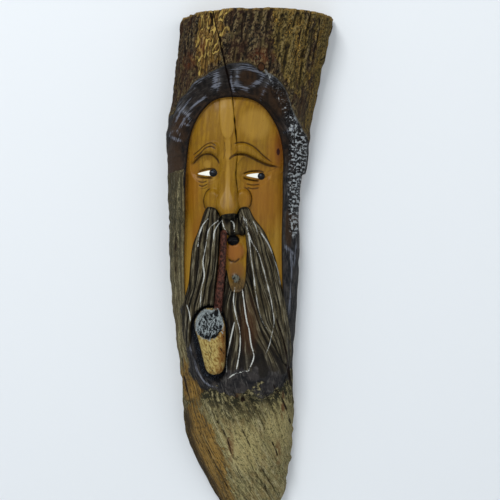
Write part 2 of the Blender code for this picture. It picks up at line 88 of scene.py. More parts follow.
ROW_PITCH = (  # height, and how far apart the rows are there
    (0, 1.8), (118, 1.8), (124, 1.2), (262, 1.2), (268, 0.85), (292, 0.85), (297, 0.65), (338, 0.65),
    (344, 1.3), (450, 1.5),
)


def ease(low, high, value):
    """0 under low, 1 over high, and a smooth rise between them."""
    t = np.clip((value - low) / (high - low), 0.0, 1.0)
    return t * t * (3.0 - 2.0 * t)


def fade(low, high, value):
    """1 under low, 0 over high, and a smooth fall between them."""
    return 1 - ease(low, high, value)


def smooth_line(points, steps=6, closed=False):
    """Places along a smooth curve through the points."""
    p = np.array(points, float)
    if closed:
        p = np.vstack([p[-1:], p, p[:2]])
    else:
        p = np.vstack([2 * p[:1] - p[1:2], p, 2 * p[-1:] - p[-2:-1]])
    t = np.linspace(0, 1, steps, endpoint=False)[:, None]
    runs = [
        0.5 * (2 * b + (c - a) * t + (2 * a - 5 * b + 4 * c - d) * t**2 + (3 * b - a - 3 * c + d) * t**3)
        for a, b, c, d in zip(p[:-3], p[1:-2], p[2:-1], p[3:])
    ]
    return np.vstack([*runs, p[-2:-1]])


def profile(points, height):
    """The value at each height of a smooth line through (height, value) points."""
    line = smooth_line(points)
    return np.interp(height, line[:, 0], line[:, 1])


def beside(x, z, line):
    """Distance from each place to a line of points, and how far along the line it is, from 0 to 1."""
    near = np.full(x.shape, 1e9)
    along = np.zeros(x.shape)
    last = len(line) - 1
    for i, (a, b) in enumerate(zip(line[:-1], line[1:])):
        run = b - a
        share = ((x - a[0]) * run[0] + (z - a[1]) * run[1]) / max(run @ run, 1e-9)
        share = np.clip(share, 0, 1)
        far = np.hypot(x - a[0] - share * run[0], z - a[1] - share * run[1])
        along = np.where(far < near, (i + share) / last, along)
        near = np.minimum(far, near)
    return near, along


def inside(x, z, points, steps=4):
    """How deep each place lies inside a smooth closed outline. It is negative outside."""
    line = smooth_line(points, steps, closed=True)
    crossings = np.zeros(x.shape, int)
    for a, b in zip(line[:-1], line[1:]):
        spans = (a[1] > z) != (b[1] > z)
        rise = b[1] - a[1]
        cut = a[0] + (z - a[1]) * (b[0] - a[0]) / (rise if abs(rise) > 1e-9 else 1e-9)
        crossings += spans & (x < cut)
    near, _ = beside(x, z, line)
    return np.where(crossings % 2 == 1, near, -near)


def dome(x, z, oval):
    """1 at the middle of an oval and 0 at its rim, shaped like half an egg."""
    cx, cz, half_width, half_height = oval
    r2 = ((x - cx) / half_width) ** 2 + ((z - cz) / half_height) ** 2
    return np.sqrt(np.clip(1.0 - r2, 0.0, 1.0))


def wander(a, b, seed=0):
    """Smooth random relief between -1 and 1 that changes over about 1 unit of a and of b."""
    cells = np.random.default_rng(11 + seed).uniform(-1, 1, (64, 64))
    fa, fb = np.floor(a), np.floor(b)
    ia, ib = fa.astype(int) % 64, fb.astype(int) % 64
    ta, tb = a - fa, b - fb
    ta, tb = ta * ta * (3 - 2 * ta), tb * tb * (3 - 2 * tb)
    ja, jb = (ia + 1) % 64, (ib + 1) % 64
    low = cells[ia, ib] * (1 - ta) + cells[ja, ib] * ta
    high = cells[ia, jb] * (1 - ta) + cells[ja, jb] * ta
    return low * (1 - tb) + high * tb


bpy.ops.object.select_all(action="DESELECT")
bpy.ops.mesh.primitive_grid_add(x_subdivisions=COLUMNS, y_subdivisions=ROWS + END_ROWS, size=2)
log = bpy.context.object
log.name = "carved_wood_log"
flat = np.empty(len(log.data.vertices) * 3, np.float32)
log.data.vertices.foreach_get("co", flat)
sheet = flat.astype(float).reshape(ROWS + END_ROWS + 1, COLUMNS + 1, 3)
across = 0.78 * sheet[..., 0] + 0.22 * sheet[..., 0] ** 3  # closer together over the face
still = np.zeros(across.shape)  # for relief that changes one way only
steps_up = np.linspace(0, HEIGHT, 3000)
laid = np.cumsum(1 / np.interp(steps_up, *np.transpose(ROW_PITCH)))
row_heights = np.interp(np.linspace(laid[0], laid[-1], ROWS), laid, steps_up)
row_heights = np.concatenate([row_heights[:1], row_heights, np.full(END_ROWS, HEIGHT)])
splinters = 0.5 + 0.5 * wander(across * 4 + 7, still, 5)
fine_splinters = wander(across * 26 + 3, still, 6)
ragged = (TIP_RAGGED * splinters + 2.4 * fine_splinters + 2.4) * (1 - across**2)
z = ragged + (HEIGHT - ragged) * row_heights[:, None] / HEIGHT
left, right = profile(LEFT_EDGE, z), profile(RIGHT_EDGE, z)
frayed = fade(*FRAYED_UNDER, z)
left = left + 0.5 * wander(z / 4, still, 7) + 0.4 * wander(z / 9, still, 8)
right = right + FRAYING * frayed * wander(z / 4.3, still, 9) + 0.5 * wander(z / 8, still, 10)
# the columns of the mesh follow the long crack
grid_line = ((0, 8), (100, 0), (200, -6)) + tuple((up, place) for place, up in reversed(LONG_CRACK))
sine = (profile(grid_line, z) - (left + right) / 2) / ((right - left) / 2)
shift = np.arcsin(np.clip(sine, -0.9, 0.9)) * 2 / np.pi
turn = (across + shift * (1 - np.abs(across))) * np.pi / 2
half_width = (right - left) / 2
x = (left + right) / 2 + half_width * np.sin(turn)
deep = profile(DEPTH_SHARES, z) * LOG_DEPTH
bark = deep * np.cos(turn)
out_x, out_h = np.sin(turn) * deep, np.cos(turn) * half_width
out_x, out_h = out_x / np.hypot(out_x, out_h), out_h / np.hypot(out_x, out_h)
girth = turn * (half_width + deep) / 2
run_off = GRAIN_SLOPE * np.maximum(GRAIN_TURN - z, 0)
fibre = girth - run_off
flank = np.sin(np.pi / 2 * np.clip((1 - np.abs(across)) * 6, 0, 1))
coarse = wander((x - run_off) / 9, z / 70)
finer = wander((x - run_off) / 4.5, z / 35, 1)
bark = bark + BARK_WAVES * (coarse - 0.5 * np.abs(finer)) * flank

# The hood
# The band round the face, cut down from the outer wood to the opening with a wide gouge. Its cuts meet
# in ridges that fan out over the forehead. It is stained dark, and pale paint is dry-brushed on its
# edges. The right side is pecked all over with the corner of the gouge.
OPENING = (
    (-41, 130), (-30, 122), (-12, 120), (6, 116), (22, 116), (34, 124), (41, 140), (41, 165),
    (39, 185), (37, 203), (36, 234), (36, 260), (36.8, 287), (36.8, 304), (37.3, 321), (36, 334.5),
    (32.5, 347.6), (26.4, 359), (19.4, 367.7), (11.6, 372.9), (2.8, 375.5), (-7.6, 376),
    (-16.3, 375.5), (-25.1, 372.9), (-33.8, 365.1), (-40.8, 354.6), (-45.1, 343.3), (-47.7, 330.2),
    (-49.5, 312.7), (-50.3, 295), (-50.3, 273.5), (-51.2, 243), (-51.2, 217), (-50.5, 199),
    (-50, 180), (-47.5, 163), (-44, 146),
)
HOOD = (
    (-78, 311), (-78, 356), (-61, 363), (-56, 374), (-47.5, 380.5), (-41.5, 388.8), (-30.8, 393.6),
    (-21.5, 398.2), (-11.2, 402), (-1.9, 403), (7.5, 402), (17.7, 395), (29.5, 391), (38, 381.3),
    (44, 364.6), (55, 346), (64, 336), (76, 330), (76, 150), (44, 136), (30, 180), (0, 250),
    (-30, 311),
)
HOOD_LIP = 5.5
HOOD_CENTRE = (-7, 325)
HOOD_CUTS = (  # bearing of each ridge, and how deep the scoop after it is
    (-60, 0.8), (-20, 0.8), (5, 1.2), (27, 5.0), (64, 2.4), (88, 1.8), (103, 4.4), (140, 3.0),
    (160, 2.4), (176, 1.6), (200, 1.0), (250, 0.8), (300, 0.8),
)
PECKED = (
    (19, 397), (29, 391), (38, 381), (44.5, 365), (53, 350), (59, 340), (58, 322), (54.5, 304),
    (53, 272), (50, 256), (44, 253), (41, 262), (40.5, 280), (39.5, 300), (41, 330), (39, 350),
    (34, 366), (27, 379),
)
PECK_DEPTH = 1.6
KNIFE_MARKS = 0.4
RECESS = 13.5
FACE_MIDDLE = -7.0
FACE_HALF_WIDTH = 44.0
EDGE_DROP = 15.0
EDGE_ROUND = 1.0
SINK_SHARES = (
    (100, 0.0), (118, 0.02), (130, 0.14), (145, 0.32), (160, 0.48), (190, 0.68), (220, 0.85),
    (250, 0.96), (270, 1.0), (290, 1.03), (305, 1.06), (318, 0.98), (336, 0.86), (350, 0.94),
    (365, 1.10), (376, 1.32), (390, 1.45),
)


def ripple(wide, tall, seed):
    """Smooth relief in patches of this width and height."""
    return wander(x / wide, z / tall, seed)


opening = inside(x, z, OPENING)
hood = inside(x, z, HOOD)
pecked = inside(x, z, PECKED)
out = np.abs(x - FACE_MIDDLE) / FACE_HALF_WIDTH
flesh = profile(DEPTH_SHARES, z) * LOG_DEPTH - profile(SINK_SHARES, z) * RECESS
flesh = flesh - EDGE_DROP * out**2.3
flesh = flesh - EDGE_ROUND * (1 - np.sqrt(np.clip(opening / 9.0, 0, 1))) * ease(190, 240, z)
cut = np.clip(hood, 0, None) / np.maximum(np.clip(hood, 0, None) + np.clip(-opening, 0, None), 1e-6)
bearing = np.degrees(np.arctan2(z - HOOD_CENTRE[1], x - HOOD_CENTRE[0]))
bearing = np.where(bearing < HOOD_CUTS[0][0], bearing + 360, bearing)
from_centre = np.hypot(x - HOOD_CENTRE[0], z - HOOD_CENTRE[1])
bearing = bearing + 5 * wander(from_centre / 11, bearing / 40, 14)
ridges, scoops = np.transpose(HOOD_CUTS)
nearest = np.clip(np.searchsorted(ridges, bearing) - 1, 0, len(ridges) - 2)
between = np.clip((bearing - ridges[nearest]) / (ridges[nearest + 1] - ridges[nearest]), 0, 1)
to_ridge = np.minimum(bearing - ridges[nearest], ridges[nearest + 1] - bearing)
to_ridge = np.radians(np.abs(to_ridge)) * from_centre
mid_hood = np.sqrt(np.clip(4 * cut * (1 - cut), 0, 1))
scoop = (1 - (2 * between - 1) ** 2) * mid_hood * ease(300, 335, z)
hooded = np.minimum(bark, bark + (flesh + HOOD_LIP - bark) * cut**0.85) - scoops[nearest] * scoop
knife = KNIFE_MARKS * ripple(4.5, 4.5, 21) + 0.25 * ripple(1.9, 3.5, 22)
pecks = np.abs(ripple(1.7, 1.4, 23)) + 0.9 * np.abs(ripple(4.2, 2.0, 24))
hooded = hooded + knife - PECK_DEPTH * pecks * ease(-2, 2, pecked)
h = np.where(hood > 0, hooded, bark)

# The face
# Carved to bare wood in the opening, sanded, and varnished a warm brown. The brows, lids and folds are
# knife cuts. The eyes are painted: a white wedge beside a black pupil that looks to the right.
NOSE_REACH = 12.5
NOSE_OUTLINE = (
    (-16.5, 327), (-19, 312), (-21, 297), (-23, 285), (-22.4, 279.4), (-19.6, 274.6),
    (-16.6, 270.8), (-13.5, 269.1), (-9.8, 269.1), (-6.2, 271), (-3.4, 275), (-1.8, 280), (-2, 286),
    (-3.2, 297), (-4.4, 312), (-6, 327),
)
NOSE_SHARES = ((268, 0.84), (272, 0.97), (277, 1.0), (284, 0.86), (297, 0.55), (312, 0.29), (327, 0.05))
NOSE_FLANK = ((268, 4.0), (276, 4.6), (286, 5.4), (297, 7.0), (327, 6.0))
NOSE_WINGS = ((-25.2, 285.6, 8.0, 10.4), (1.2, 285.8, 7.8, 10.2))
WING_RISE = 5.4
LEFT_BROW = (
    (-44.5, 318.5), (-41.5, 325.5), (-36, 331.1), (-29.3, 335.8), (-22.7, 336.3), (-19.4, 333),
    (-19.3, 326.5), (-21.8, 322.3), (-26.4, 325.8), (-33.3, 325.6), (-39, 321.6),
)
RIGHT_BROW = (
    (-9.6, 322.3), (-7, 328.5), (-4.2, 334.4), (3.5, 335.3), (11, 331.7), (19.3, 324.1),
    (28.8, 318.2), (34.5, 316.2), (32.5, 315.2), (21.3, 317.2), (11.9, 321.5), (3.5, 325.1),
    (-4.9, 325.5),
)
BROW_RISE = 3.2
EYES = ((-30.6, 309.6, 9.8, 4.1), (11.0, 307.3, 10.6, 4.2))
PUPILS = ((-24.7, 310.0, 3.5), (17.0, 307.2, 3.2))
WHITES = (
    ((-38.6, 309.4), (-33, 311.2), (-26, 312.2), (-25, 309.8), (-26, 307.4), (-33, 307.9)),
    ((3.7, 307.6), (9, 309.2), (16, 309.8), (17, 307.4), (16, 305.2), (9, 306.1)),
)
EYE_SOCKET = 3.0
EYEBALL = 1.5
LID_WIDTH = 1.0
LID_CUT = 0.7
FOLDS = (  # line, width, depth
    (((-43.9, 324.5), (-37.5, 328.9), (-31.8, 333.6), (-26, 335.4), (-20.3, 331)), 1.9, 0.8),
    (((-43, 321.4), (-36.5, 326), (-31.6, 330.8), (-26.2, 332.2), (-21.4, 329.3)), 1.9, 0.9),
    (
        ((-43.6, 316.6), (-39, 321.6), (-33.3, 325.6), (-26.4, 325.6), (-21.2, 321.4), (-18.8, 316)),
        2.0, 1.2,
    ),
    (((-7.4, 334.2), (-3, 335.6), (3.5, 335.4), (11, 331.9), (19.3, 324.4), (28.8, 317.6)), 1.9, 1.0),
    (
        ((-11.5, 320), (-8.6, 323.4), (-4, 325.4), (3.5, 325.1), (12, 321.3), (22, 317), (35, 315)),
        2.4, 1.5,
    ),
    (((-38.6, 310.2), (-34.5, 312.2), (-30, 313.2), (-25.5, 313.6), (-21.6, 312.4)), 2.0, 1.0),
    (((-40, 307.4), (-35, 306), (-29, 305.6), (-24.5, 305.4)), 2.0, 0.9),
    (((0.4, 308.6), (5, 310.6), (10, 311.4), (16, 311.6), (20.4, 309.8)), 2.0, 1.0),
    (((0.6, 306), (5, 304.2), (10, 303.4), (16, 302.8)), 2.0, 0.9),
    (((-38.4, 303), (-34, 301.9), (-29.8, 303.3)), 1.7, 0.8),
    (((-38, 299.8), (-34, 298.4), (-29, 300.8)), 1.7, 0.8),
    (((-36.6, 296.2), (-32.5, 296.4), (-28.9, 298.4)), 1.5, 0.5),
    (((3.4, 300.6), (9, 299.4), (16.6, 300.2)), 1.7, 0.8),
    (((4.4, 297.4), (9.5, 296), (15.8, 297.2)), 1.7, 0.8),
    (((21.6, 311), (26, 312.4), (31, 315)), 1.4, 0.35),
    (((22, 304.6), (27, 303.2), (31, 301)), 1.4, 0.3),
    (((-15.2, 338), (-14.2, 329), (-16.2, 320)), 1.6, 0.45),
    (((-8.2, 336), (-9.4, 328), (-7.6, 321)), 1.6, 0.4),
    (((-26, 297.2), (-30.6, 293.6), (-33, 287), (-32.4, 281), (-31, 278)), 1.6, 0.8),
    (((0.6, 298), (6, 294.8), (8.6, 288.6), (7.6, 282), (5.4, 279)), 1.6, 0.9),
)
FOREHEAD_FLAT = (
    (-18.8, 374), (-13, 376), (-7.8, 376), (-6.8, 352), (-8.5, 343), (-12.5, 339), (-17.8, 347),
)
FLAT_STEP = 0.5
MOUTH = (-7.4, 251.5, 5.6, 4.8)
MOUTH_DEPTH = 3.6
LOWER_LIP = (-6.0, 241.5, 9.0, 9.5)
LIP_RISE = 2.0
SMILE = ((-12.5, 235.4), (-9, 233.4), (-5, 233.2), (-1.2, 236.2))
CHIN = (-5.0, 225.0, 8.0, 9.5)
CHIN_RISE = 0.9
SOUL_PATCH = (-5.4, 218.3, 4.2, 4.4)
ROUND_MOUTH_DROP = 2.6
ROUND_MOUTH = ((-21, 262), (-24, 240), (-24, 212), (-18, 205), (8, 205), (8, 225), (5, 245), (4, 262))


def cut_along(line, width, depth):
    """A V cut along a smooth line, shallower to its ends."""
    far, along = beside(x, z, smooth_line(line))
    ends = ease(0, 0.15, along) * ease(0, 0.15, 1 - along)
    return depth * ends * np.clip(1 - 2 * far / width, 0, 1)


brows = np.maximum(inside(x, z, LEFT_BROW), inside(x, z, RIGHT_BROW))
rise = BROW_RISE * ease(-0.8, 3.0, brows)
for cx, cz, half_length, half_height in EYES:
    socket = dome(x, z, (cx, cz + 5, half_length * 1.45, half_height * 3.4))
    rise -= EYE_SOCKET * socket * fade(-2.0, 1.0, brows)
    off = np.abs(x - cx) / half_length
    r = np.hypot(off, (z - cz) / (half_height * (1 - 0.45 * np.minimum(off, 1))))
    rise += EYEBALL * np.sqrt(np.clip(1 - r**2, 0, 1))
    rise -= LID_CUT * np.clip(1 - np.abs(r - 1.02) * half_height / LID_WIDTH, 0, 1)
folds = np.zeros(x.shape)
for line, width, depth in FOLDS:
    folds = np.maximum(folds, cut_along(line, width, depth))
rise -= folds
flat_cut = inside(x, z, FOREHEAD_FLAT)
rise += FLAT_STEP * ease(-0.4, 0.6, flat_cut)
for cx, cz, half_length, half_height in NOSE_WINGS:
    rise += WING_RISE * ease(0, 0.9, dome(x, z, (cx, cz, half_length, half_height)))
share = np.clip(inside(x, z, NOSE_OUTLINE) / profile(NOSE_FLANK, z), 0, 1)
full = np.sqrt(1 - (1 - share) ** 2)
ball = fade(282, 305, z)
nose = NOSE_REACH * profile(NOSE_SHARES, z) * (share + (full - share) * (0.35 + 0.65 * ball))
face = flesh + np.maximum(rise, nose + np.minimum(rise, 0) * fade(0, 0.5, share))
face = face + 0.3 * ripple(7, 17, 31) + 0.12 * ripple(2.6, 9, 32)
face = face - ROUND_MOUTH_DROP * ease(0, 5, inside(x, z, ROUND_MOUTH))
lip = dome(x, z, LOWER_LIP)
chin = dome(x, z, CHIN)
mouth = dome(x, z, MOUTH)
smile = cut_along(SMILE, 2.0, 1.2)
face = face + LIP_RISE * ease(0, 1, lip) + CHIN_RISE * ease(0, 1, chin) - smile - MOUTH_DEPTH * mouth

# The beard
# The moustache falls in two long sides from under the nose, with a tuft between them, and the beard
# spreads below the chin. Locks are cut with a V tool, and each has finer strands cut in it. The hair
# is stained nearly black, and pale paint is drawn along some of its ridges.
LEFT_LOCKS = (
    (-26, 280), (-30.8, 279.2), (-34.3, 271), (-37.8, 259.4), (-42.6, 247.3), (-44.7, 232.6),
    (-46.5, 213.6), (-50.2, 200.6), (-52.5, 188), (-52, 172), (-49, 158), (-45, 160), (-43, 172),
    (-40, 184), (-32, 190), (-24.4, 190), (-22.4, 208.4), (-20.6, 225.7), (-19.4, 243),
    (-18, 258.6), (-18.6, 271), (-21.6, 277.8),
)
LEFT_LOCKS_OUTER = (
    (150, -52), (172, -53), (191, -51.5), (214, -47), (233, -45), (247, -43), (259, -38),
    (271, -34), (280, -31),
)
LEFT_LOCKS_INNER = (
    (150, -36), (172, -30), (192, -24.5), (226, -20.6), (243, -19.4), (259, -18.4), (280, -18),
)
RIGHT_LOCKS = (
    (1.4, 280), (-2.4, 277.8), (-4, 271), (-0.6, 264), (3, 257), (4.6, 243), (8.1, 219.6),
    (10.7, 205), (15.4, 187), (21, 174), (28, 161), (36, 145), (42, 138), (45, 143), (43.5, 165),
    (40, 187), (36.5, 204), (33.2, 218.7), (29.7, 234.3), (24.9, 247.3), (19.3, 259.5),
    (10.9, 270.4), (6.2, 279),
)
RIGHT_LOCKS_INNER = (
    (120, 38), (145, 33), (161, 27), (174, 20), (187, 15), (205, 10.5), (220, 8), (243, 4.6),
    (258, 2), (270, -2), (280, -4),
)
RIGHT_LOCKS_OUTER = (
    (120, 48), (145, 45), (165, 43.5), (187, 40), (204, 36.5), (219, 33.2), (234, 29.7), (247, 25),
    (260, 19), (270, 11.4), (280, 7),
)
CHIN_LOCKS = (
    (-11.2, 215), (-12.6, 224), (-13.8, 226), (-15, 218), (-15.8, 205), (-17, 191), (-13, 172),
    (-13.5, 155), (-16.5, 135), (-14, 124), (3, 117), (20, 114), (36, 124), (44, 138), (36, 144),
    (28, 160), (20, 176), (14, 193), (10, 206), (8.4, 222), (6.4, 238), (5.2, 247), (4.2, 238),
    (3.8, 226), (2.8, 214), (-1, 207), (-8, 207),
)
CHIN_LOCKS_LEFT = ((115, -22), (135, -20), (155, -16), (172, -14), (191, -14), (205, -13), (225, -10))
CHIN_LOCKS_RIGHT = ((115, 50), (138, 42), (160, 29), (176, 20), (193, 14), (209, 9.5), (225, 4))
UPPER_TUFT = (
    (-17, 273), (-20.5, 268), (-19.5, 261), (-13.5, 256.6), (-8, 255), (-3.5, 256.4), (1, 255.6),
    (4, 259), (1.5, 268), (-3.6, 274),
)
UPPER_TUFT_RISE = 4.4
TUFT_CUTS = 1.6
SOUL_PATCH_RISE = 1.4
MOUSTACHE_RISE = ((120, 1.0), (160, 2.2), (200, 3.4), (240, 5.2), (262, 7.0), (272, 6.4), (281, 4.6))
CHIN_BEARD_RISE = ((110, 0.2), (130, 0.8), (180, 1.8), (215, 1.5), (226, 0.2))
LOCK_RELIEF = 1.9
STRAND_RELIEF = 0.7
PALE_STROKES = (
    ((-29, 270), (-34, 264), (-37, 255), (-38, 246)),
    ((-19.6, 269), (-28, 261), (-30.6, 248), (-33.5, 233), (-32.4, 221), (-35, 208), (-36, 193)),
    ((-18, 268), (-23, 260), (-24, 251.5), (-23, 246)),
    ((-17, 269), (-15.5, 263), (-12.7, 258)),
    ((-9.2, 268), (-7, 266), (-6.2, 258.6)),
    (
        (1.4, 272), (4, 262), (6.4, 253), (8.3, 235), (10.4, 221), (11.8, 209), (14.8, 191),
        (19.5, 178), (26, 171),
    ),
    (
        (3.6, 270), (7.4, 253), (14.6, 240), (18.4, 228), (22, 214), (25.4, 200), (27, 190),
        (28.2, 181), (26.6, 171),
    ),
    ((9, 269), (12.4, 263), (13.8, 256.6)),
    ((14.5, 261), (23.2, 248), (29, 233), (32, 223), (34.2, 210)),
    ((-6, 211), (-7, 198), (-4.3, 184), (-1.8, 174), (-1.2, 161), (-2.8, 149), (-4.5, 140)),
    ((0.5, 209), (3.9, 184), (6.4, 174), (8.2, 161), (10.6, 151), (7.4, 142), (4.7, 137)),
    ((-6.2, 181), (-10, 164), (-12.8, 149), (-13.2, 137)),
    ((26, 169.5), (24.2, 161), (21, 153)),
    ((-48, 195), (-45.7, 188), (-44.7, 181)),
    ((-13, 131.3), (-5, 136.4), (7, 139)),
)


def locks(left_line, right_line, count, seed):
    """How far across its locks each place is, and the relief of locks with strands cut in them."""
    low, high = profile(left_line, z), profile(right_line, z)
    place = (x - low) / np.maximum(high - low, 1e-6) * count
    sway = 0.55 * wander(place / 2 + seed, z / 46, 3 + seed)
    place = place + sway + 0.2 * wander(place, z / 14, 6 + seed)
    ridge = 1 - np.abs(2 * (place - np.floor(place)) - 1)
    thin = place * 3.5 + 0.9 * wander(place, z / 20, 40 + seed)
    strand = 1 - np.abs(2 * (thin - np.floor(thin)) - 1)
    fullness = np.random.default_rng(70 + seed).uniform(-0.6, 0.6, 12)[np.floor(place).astype(int) % 12]
    relief = LOCK_RELIEF * (np.sqrt(ridge) - 0.6) + STRAND_RELIEF * (np.sqrt(strand) - 0.7)
    relief = relief + fullness * ease(0, 0.35, ridge)
    return place, relief


hair = np.full(x.shape, -99.0)
hair_across = np.zeros(x.shape)
bearded = face
sides = (  # outline, side lines, locks, rises, rounded edge, share of the relief, paleness
    (CHIN_LOCKS, CHIN_LOCKS_LEFT, CHIN_LOCKS_RIGHT, 5, CHIN_BEARD_RISE, 4.0, 0.6, -0.2),
    (LEFT_LOCKS, LEFT_LOCKS_OUTER, LEFT_LOCKS_INNER, 5, MOUSTACHE_RISE, 3.4, 1.0, 0.0),
    (RIGHT_LOCKS, RIGHT_LOCKS_INNER, RIGHT_LOCKS_OUTER, 5, MOUSTACHE_RISE, 3.4, 1.0, 0.28),
)
strand_high = np.zeros(x.shape)
for seed, (outline, low_side, high_side, count, rises, round_off, boldness, paler) in enumerate(sides):
    in_locks = inside(x, z, outline)
    place, relief = locks(low_side, high_side, count, seed)
    strand_high = np.where(in_locks > 0, (relief + 1.2) / 2.2 + paler, strand_high)
    relief = relief * boldness
    share = np.clip(in_locks / round_off, 0, 1)
    top = flesh + profile(rises, z) * np.sqrt(1 - (1 - share) ** 2) + relief
    bearded = bearded + (np.maximum(top, flesh - 1.0) - bearded) * ease(-0.4, 1.6, in_locks)
    hair_across = np.where(in_locks > 0, place * 6 + 40 * seed, hair_across)
    hair = np.maximum(hair, in_locks)
soul_patch = dome(x, z, SOUL_PATCH)
bearded = bearded + SOUL_PATCH_RISE * soul_patch
tuft = inside(x, z, UPPER_TUFT)
tuft_strands = np.abs(ripple(2.6, 18, 9)) + 0.4 * np.abs(ripple(1.3, 12, 10))
top = flesh + UPPER_TUFT_RISE * ease(0, 3.5, tuft) - TUFT_CUTS * tuft_strands
bearded = np.where(tuft > 0, np.maximum(bearded, top), bearded)
hair = np.maximum(hair, tuft)
stroke = np.full(x.shape, 99.0)
for line in PALE_STROKES:
    far, along = beside(x, z, smooth_line(line))
    stroke = np.minimum(stroke, far + 0.35 * np.abs(along - 0.4) + 0.25 * wander(z / 5, x / 3, 11))

# The pipe
# Carved in the same wood. The stem is painted reddish brown and cut with fine rings, the bowl is left
# pale and only varnished, and the ash standing over its rim is pecked and dabbed with grey paint. The
# wood round the bowl is cut away to a pocket, which is painted near black as shade.
STEM_DIAMETER = 6.6
STEM_RISE = 3.0
STEM_FALL = 2.0
STEM_RINGS = 0.22
BOWL_RISE = 13.0
FOOT_ROUND = 4.0
STEM = ((-15.4, 257.5), (-15.8, 247), (-17, 228.5), (-18.8, 210), (-20.8, 190))
BOWL_OUTLINE = (
    (-41, 174), (-38.6, 167), (-35.8, 157), (-33.4, 147), (-31.2, 139.4), (-27.4, 135.8),
    (-21.5, 135.2), (-16.6, 137.8), (-14, 144), (-13.4, 157), (-13.6, 168), (-14.4, 179), (-18, 188),
    (-24, 192.6), (-31, 193), (-37, 189), (-41, 182),
)
BOWL_AXIS = ((130, -23.5), (145, -24), (170, -27.2), (195, -28))
BOWL_HALF_WIDTH = ((130, 6), (137, 7.5), (145, 9.6), (158, 11.6), (172, 13.6), (195, 14))
BOWL_PROFILE = ((130, 0.86), (142, 0.95), (166, 1.0), (176, 0.94), (186, 0.74), (196, 0.5))
RIM = (-28.2, 179.6, 12.6, 13.6)
RIM_DEPTH = 1.4
ASH_RISE = 2.4
POCKET_DEPTH = 5.0
POCKET_WIDTH = 9.0

bowl = inside(x, z, BOWL_OUTLINE)
low_left = fade(160, 188, z) * fade(-24, -10, x)
pocket = fade(0.15, 1.0, -bowl / POCKET_WIDTH / (0.33 + 0.67 * low_left))
foot = flesh - POCKET_DEPTH
inner = bearded + (np.minimum(bearded, foot) - bearded) * pocket
stem_far, stem_along = beside(x, z, smooth_line(STEM))
radius = STEM_DIAMETER / 2 * (0.9 + 0.2 * stem_along)
rings = STEM_RINGS * np.abs(np.sin(stem_along * 90)) * ease(0.45, 0.55, stem_along)
stem_round = np.sqrt(np.clip(radius**2 - stem_far**2, 0, None))
stem_top = flesh + STEM_RISE - STEM_FALL * stem_along + stem_round - rings
inner = np.where(stem_far < radius, np.maximum(inner, stem_top), inner)
bowl_across = np.clip((x - profile(BOWL_AXIS, z)) / profile(BOWL_HALF_WIDTH, z), -1, 1)
section = 0.45 + 0.55 * np.sqrt(1 - bowl_across**2)
front = foot + (BOWL_RISE + POCKET_DEPTH) * profile(BOWL_PROFILE, z) * section
front = front + 0.5 * ripple(3.2, 4.4, 53) + 0.4 * ripple(6, 8, 54)
front = front - FOOT_ROUND * (1 - np.sqrt(np.clip(bowl / FOOT_ROUND, 0, 1))) * fade(138, 158, z)
ash = dome(x, z, RIM)
dabs = 1.5 * np.abs(ripple(1.4, 1.4, 51)) * ease(0.1, 0.5, ash)
nicks = 0.3 * np.abs(ripple(1.6, 1.1, 52)) * fade(0.1, 0.3, ash)
front = front - RIM_DEPTH * ease(0.0, 0.4, ash) + ASH_RISE * ash**2 - 0.9 * dabs - nicks
inner = inner + (np.maximum(front, inner) - inner) * ease(-0.3, 1.2, bowl)
inner = bark + (inner - bark) * ease(112, 136, z)
h = h + (inner - h) * ease(-0.3, 2.0, opening)

# The cracks and the weather
# The wood has dried and split. The longest crack runs down from the sawn top, through the hood and the
# forehead and beside the nose. Outside the carving, the surface is fibrous and fissured.
CRACK_WIDTH = 2.2
LONG_CRACK_WIDTHS = (
    (280, 0.3), (300, 0.42), (330, 0.42), (375, 0.5), (381, 0.85), (418, 0.9), (428, 0.35), (452, 0.35),
)
CRACKS = (  # line, width as a share of CRACK_WIDTH, and depth
    (LONG_CRACK, 1.0, 5.0),
    (((29, 186), (36, 165), (40, 146), (43, 126)), 0.8, 3.0),
    (((27, 127), (31, 119), (35, 113), (40, 100.6), (44.4, 86)), 0.6, 3.0),
    (((26.6, 75), (29.5, 69), (31.6, 62)), 1.1, 3.0),
    (((32.5, 56), (36, 49), (40, 41)), 0.6, 3.0),
    (((-1.5, 91.5), (7.2, 72.4), (17.7, 46.6), (23, 26)), 0.45, 2.2),
    (((-22.2, 96), (-13.6, 81), (-8.4, 63.6)), 0.55, 2.4),
    (((38, 144), (41.7, 132.7), (44.6, 120)), 0.7, 3.0),
    (((-6, 58), (-3, 50), (1, 42)), 0.5, 2.0),
    (((8, 106), (14, 94), (18, 80)), 0.35, 1.5),
    (((-30, 70), (-22, 52), (-12, 32)), 0.5, 1.8),
    (((-52, 436), (-50, 420), (-51, 404)), 0.7, 2.0),
    (((-44, 444), (-43, 428), (-45, 410)), 0.6, 1.8),
    (((-27, 449), (-26, 438), (-28, 430)), 0.9, 2.5),
    (((2, 448), (0, 430), (3, 414)), 0.5, 1.5),
    (((52, 448), (50, 430), (47, 410), (46, 396)), 0.5, 1.5),
    (((68, 446), (66, 428), (62, 408)), 0.6, 1.8),
    (((-58, 260), (-59, 235), (-57, 214)), 0.5, 1.5),
    (((-53, 150), (-51, 130), (-46, 112)), 0.6, 1.8),
)
TWIG_KNOT = (16.8, 399, 3.3, 3.795)
KNOT_DEPTH = 0.6
BORE_HOLE = (1.0, 114, 1.9, 1.9)
BORE_DEPTH = 2.0
FISSURE_DEPTH = 1.3


def grain(wide, tall, seed):
    """Smooth relief in patches of this size along the fibres."""
    return wander(fibre / wide, z / tall, seed)


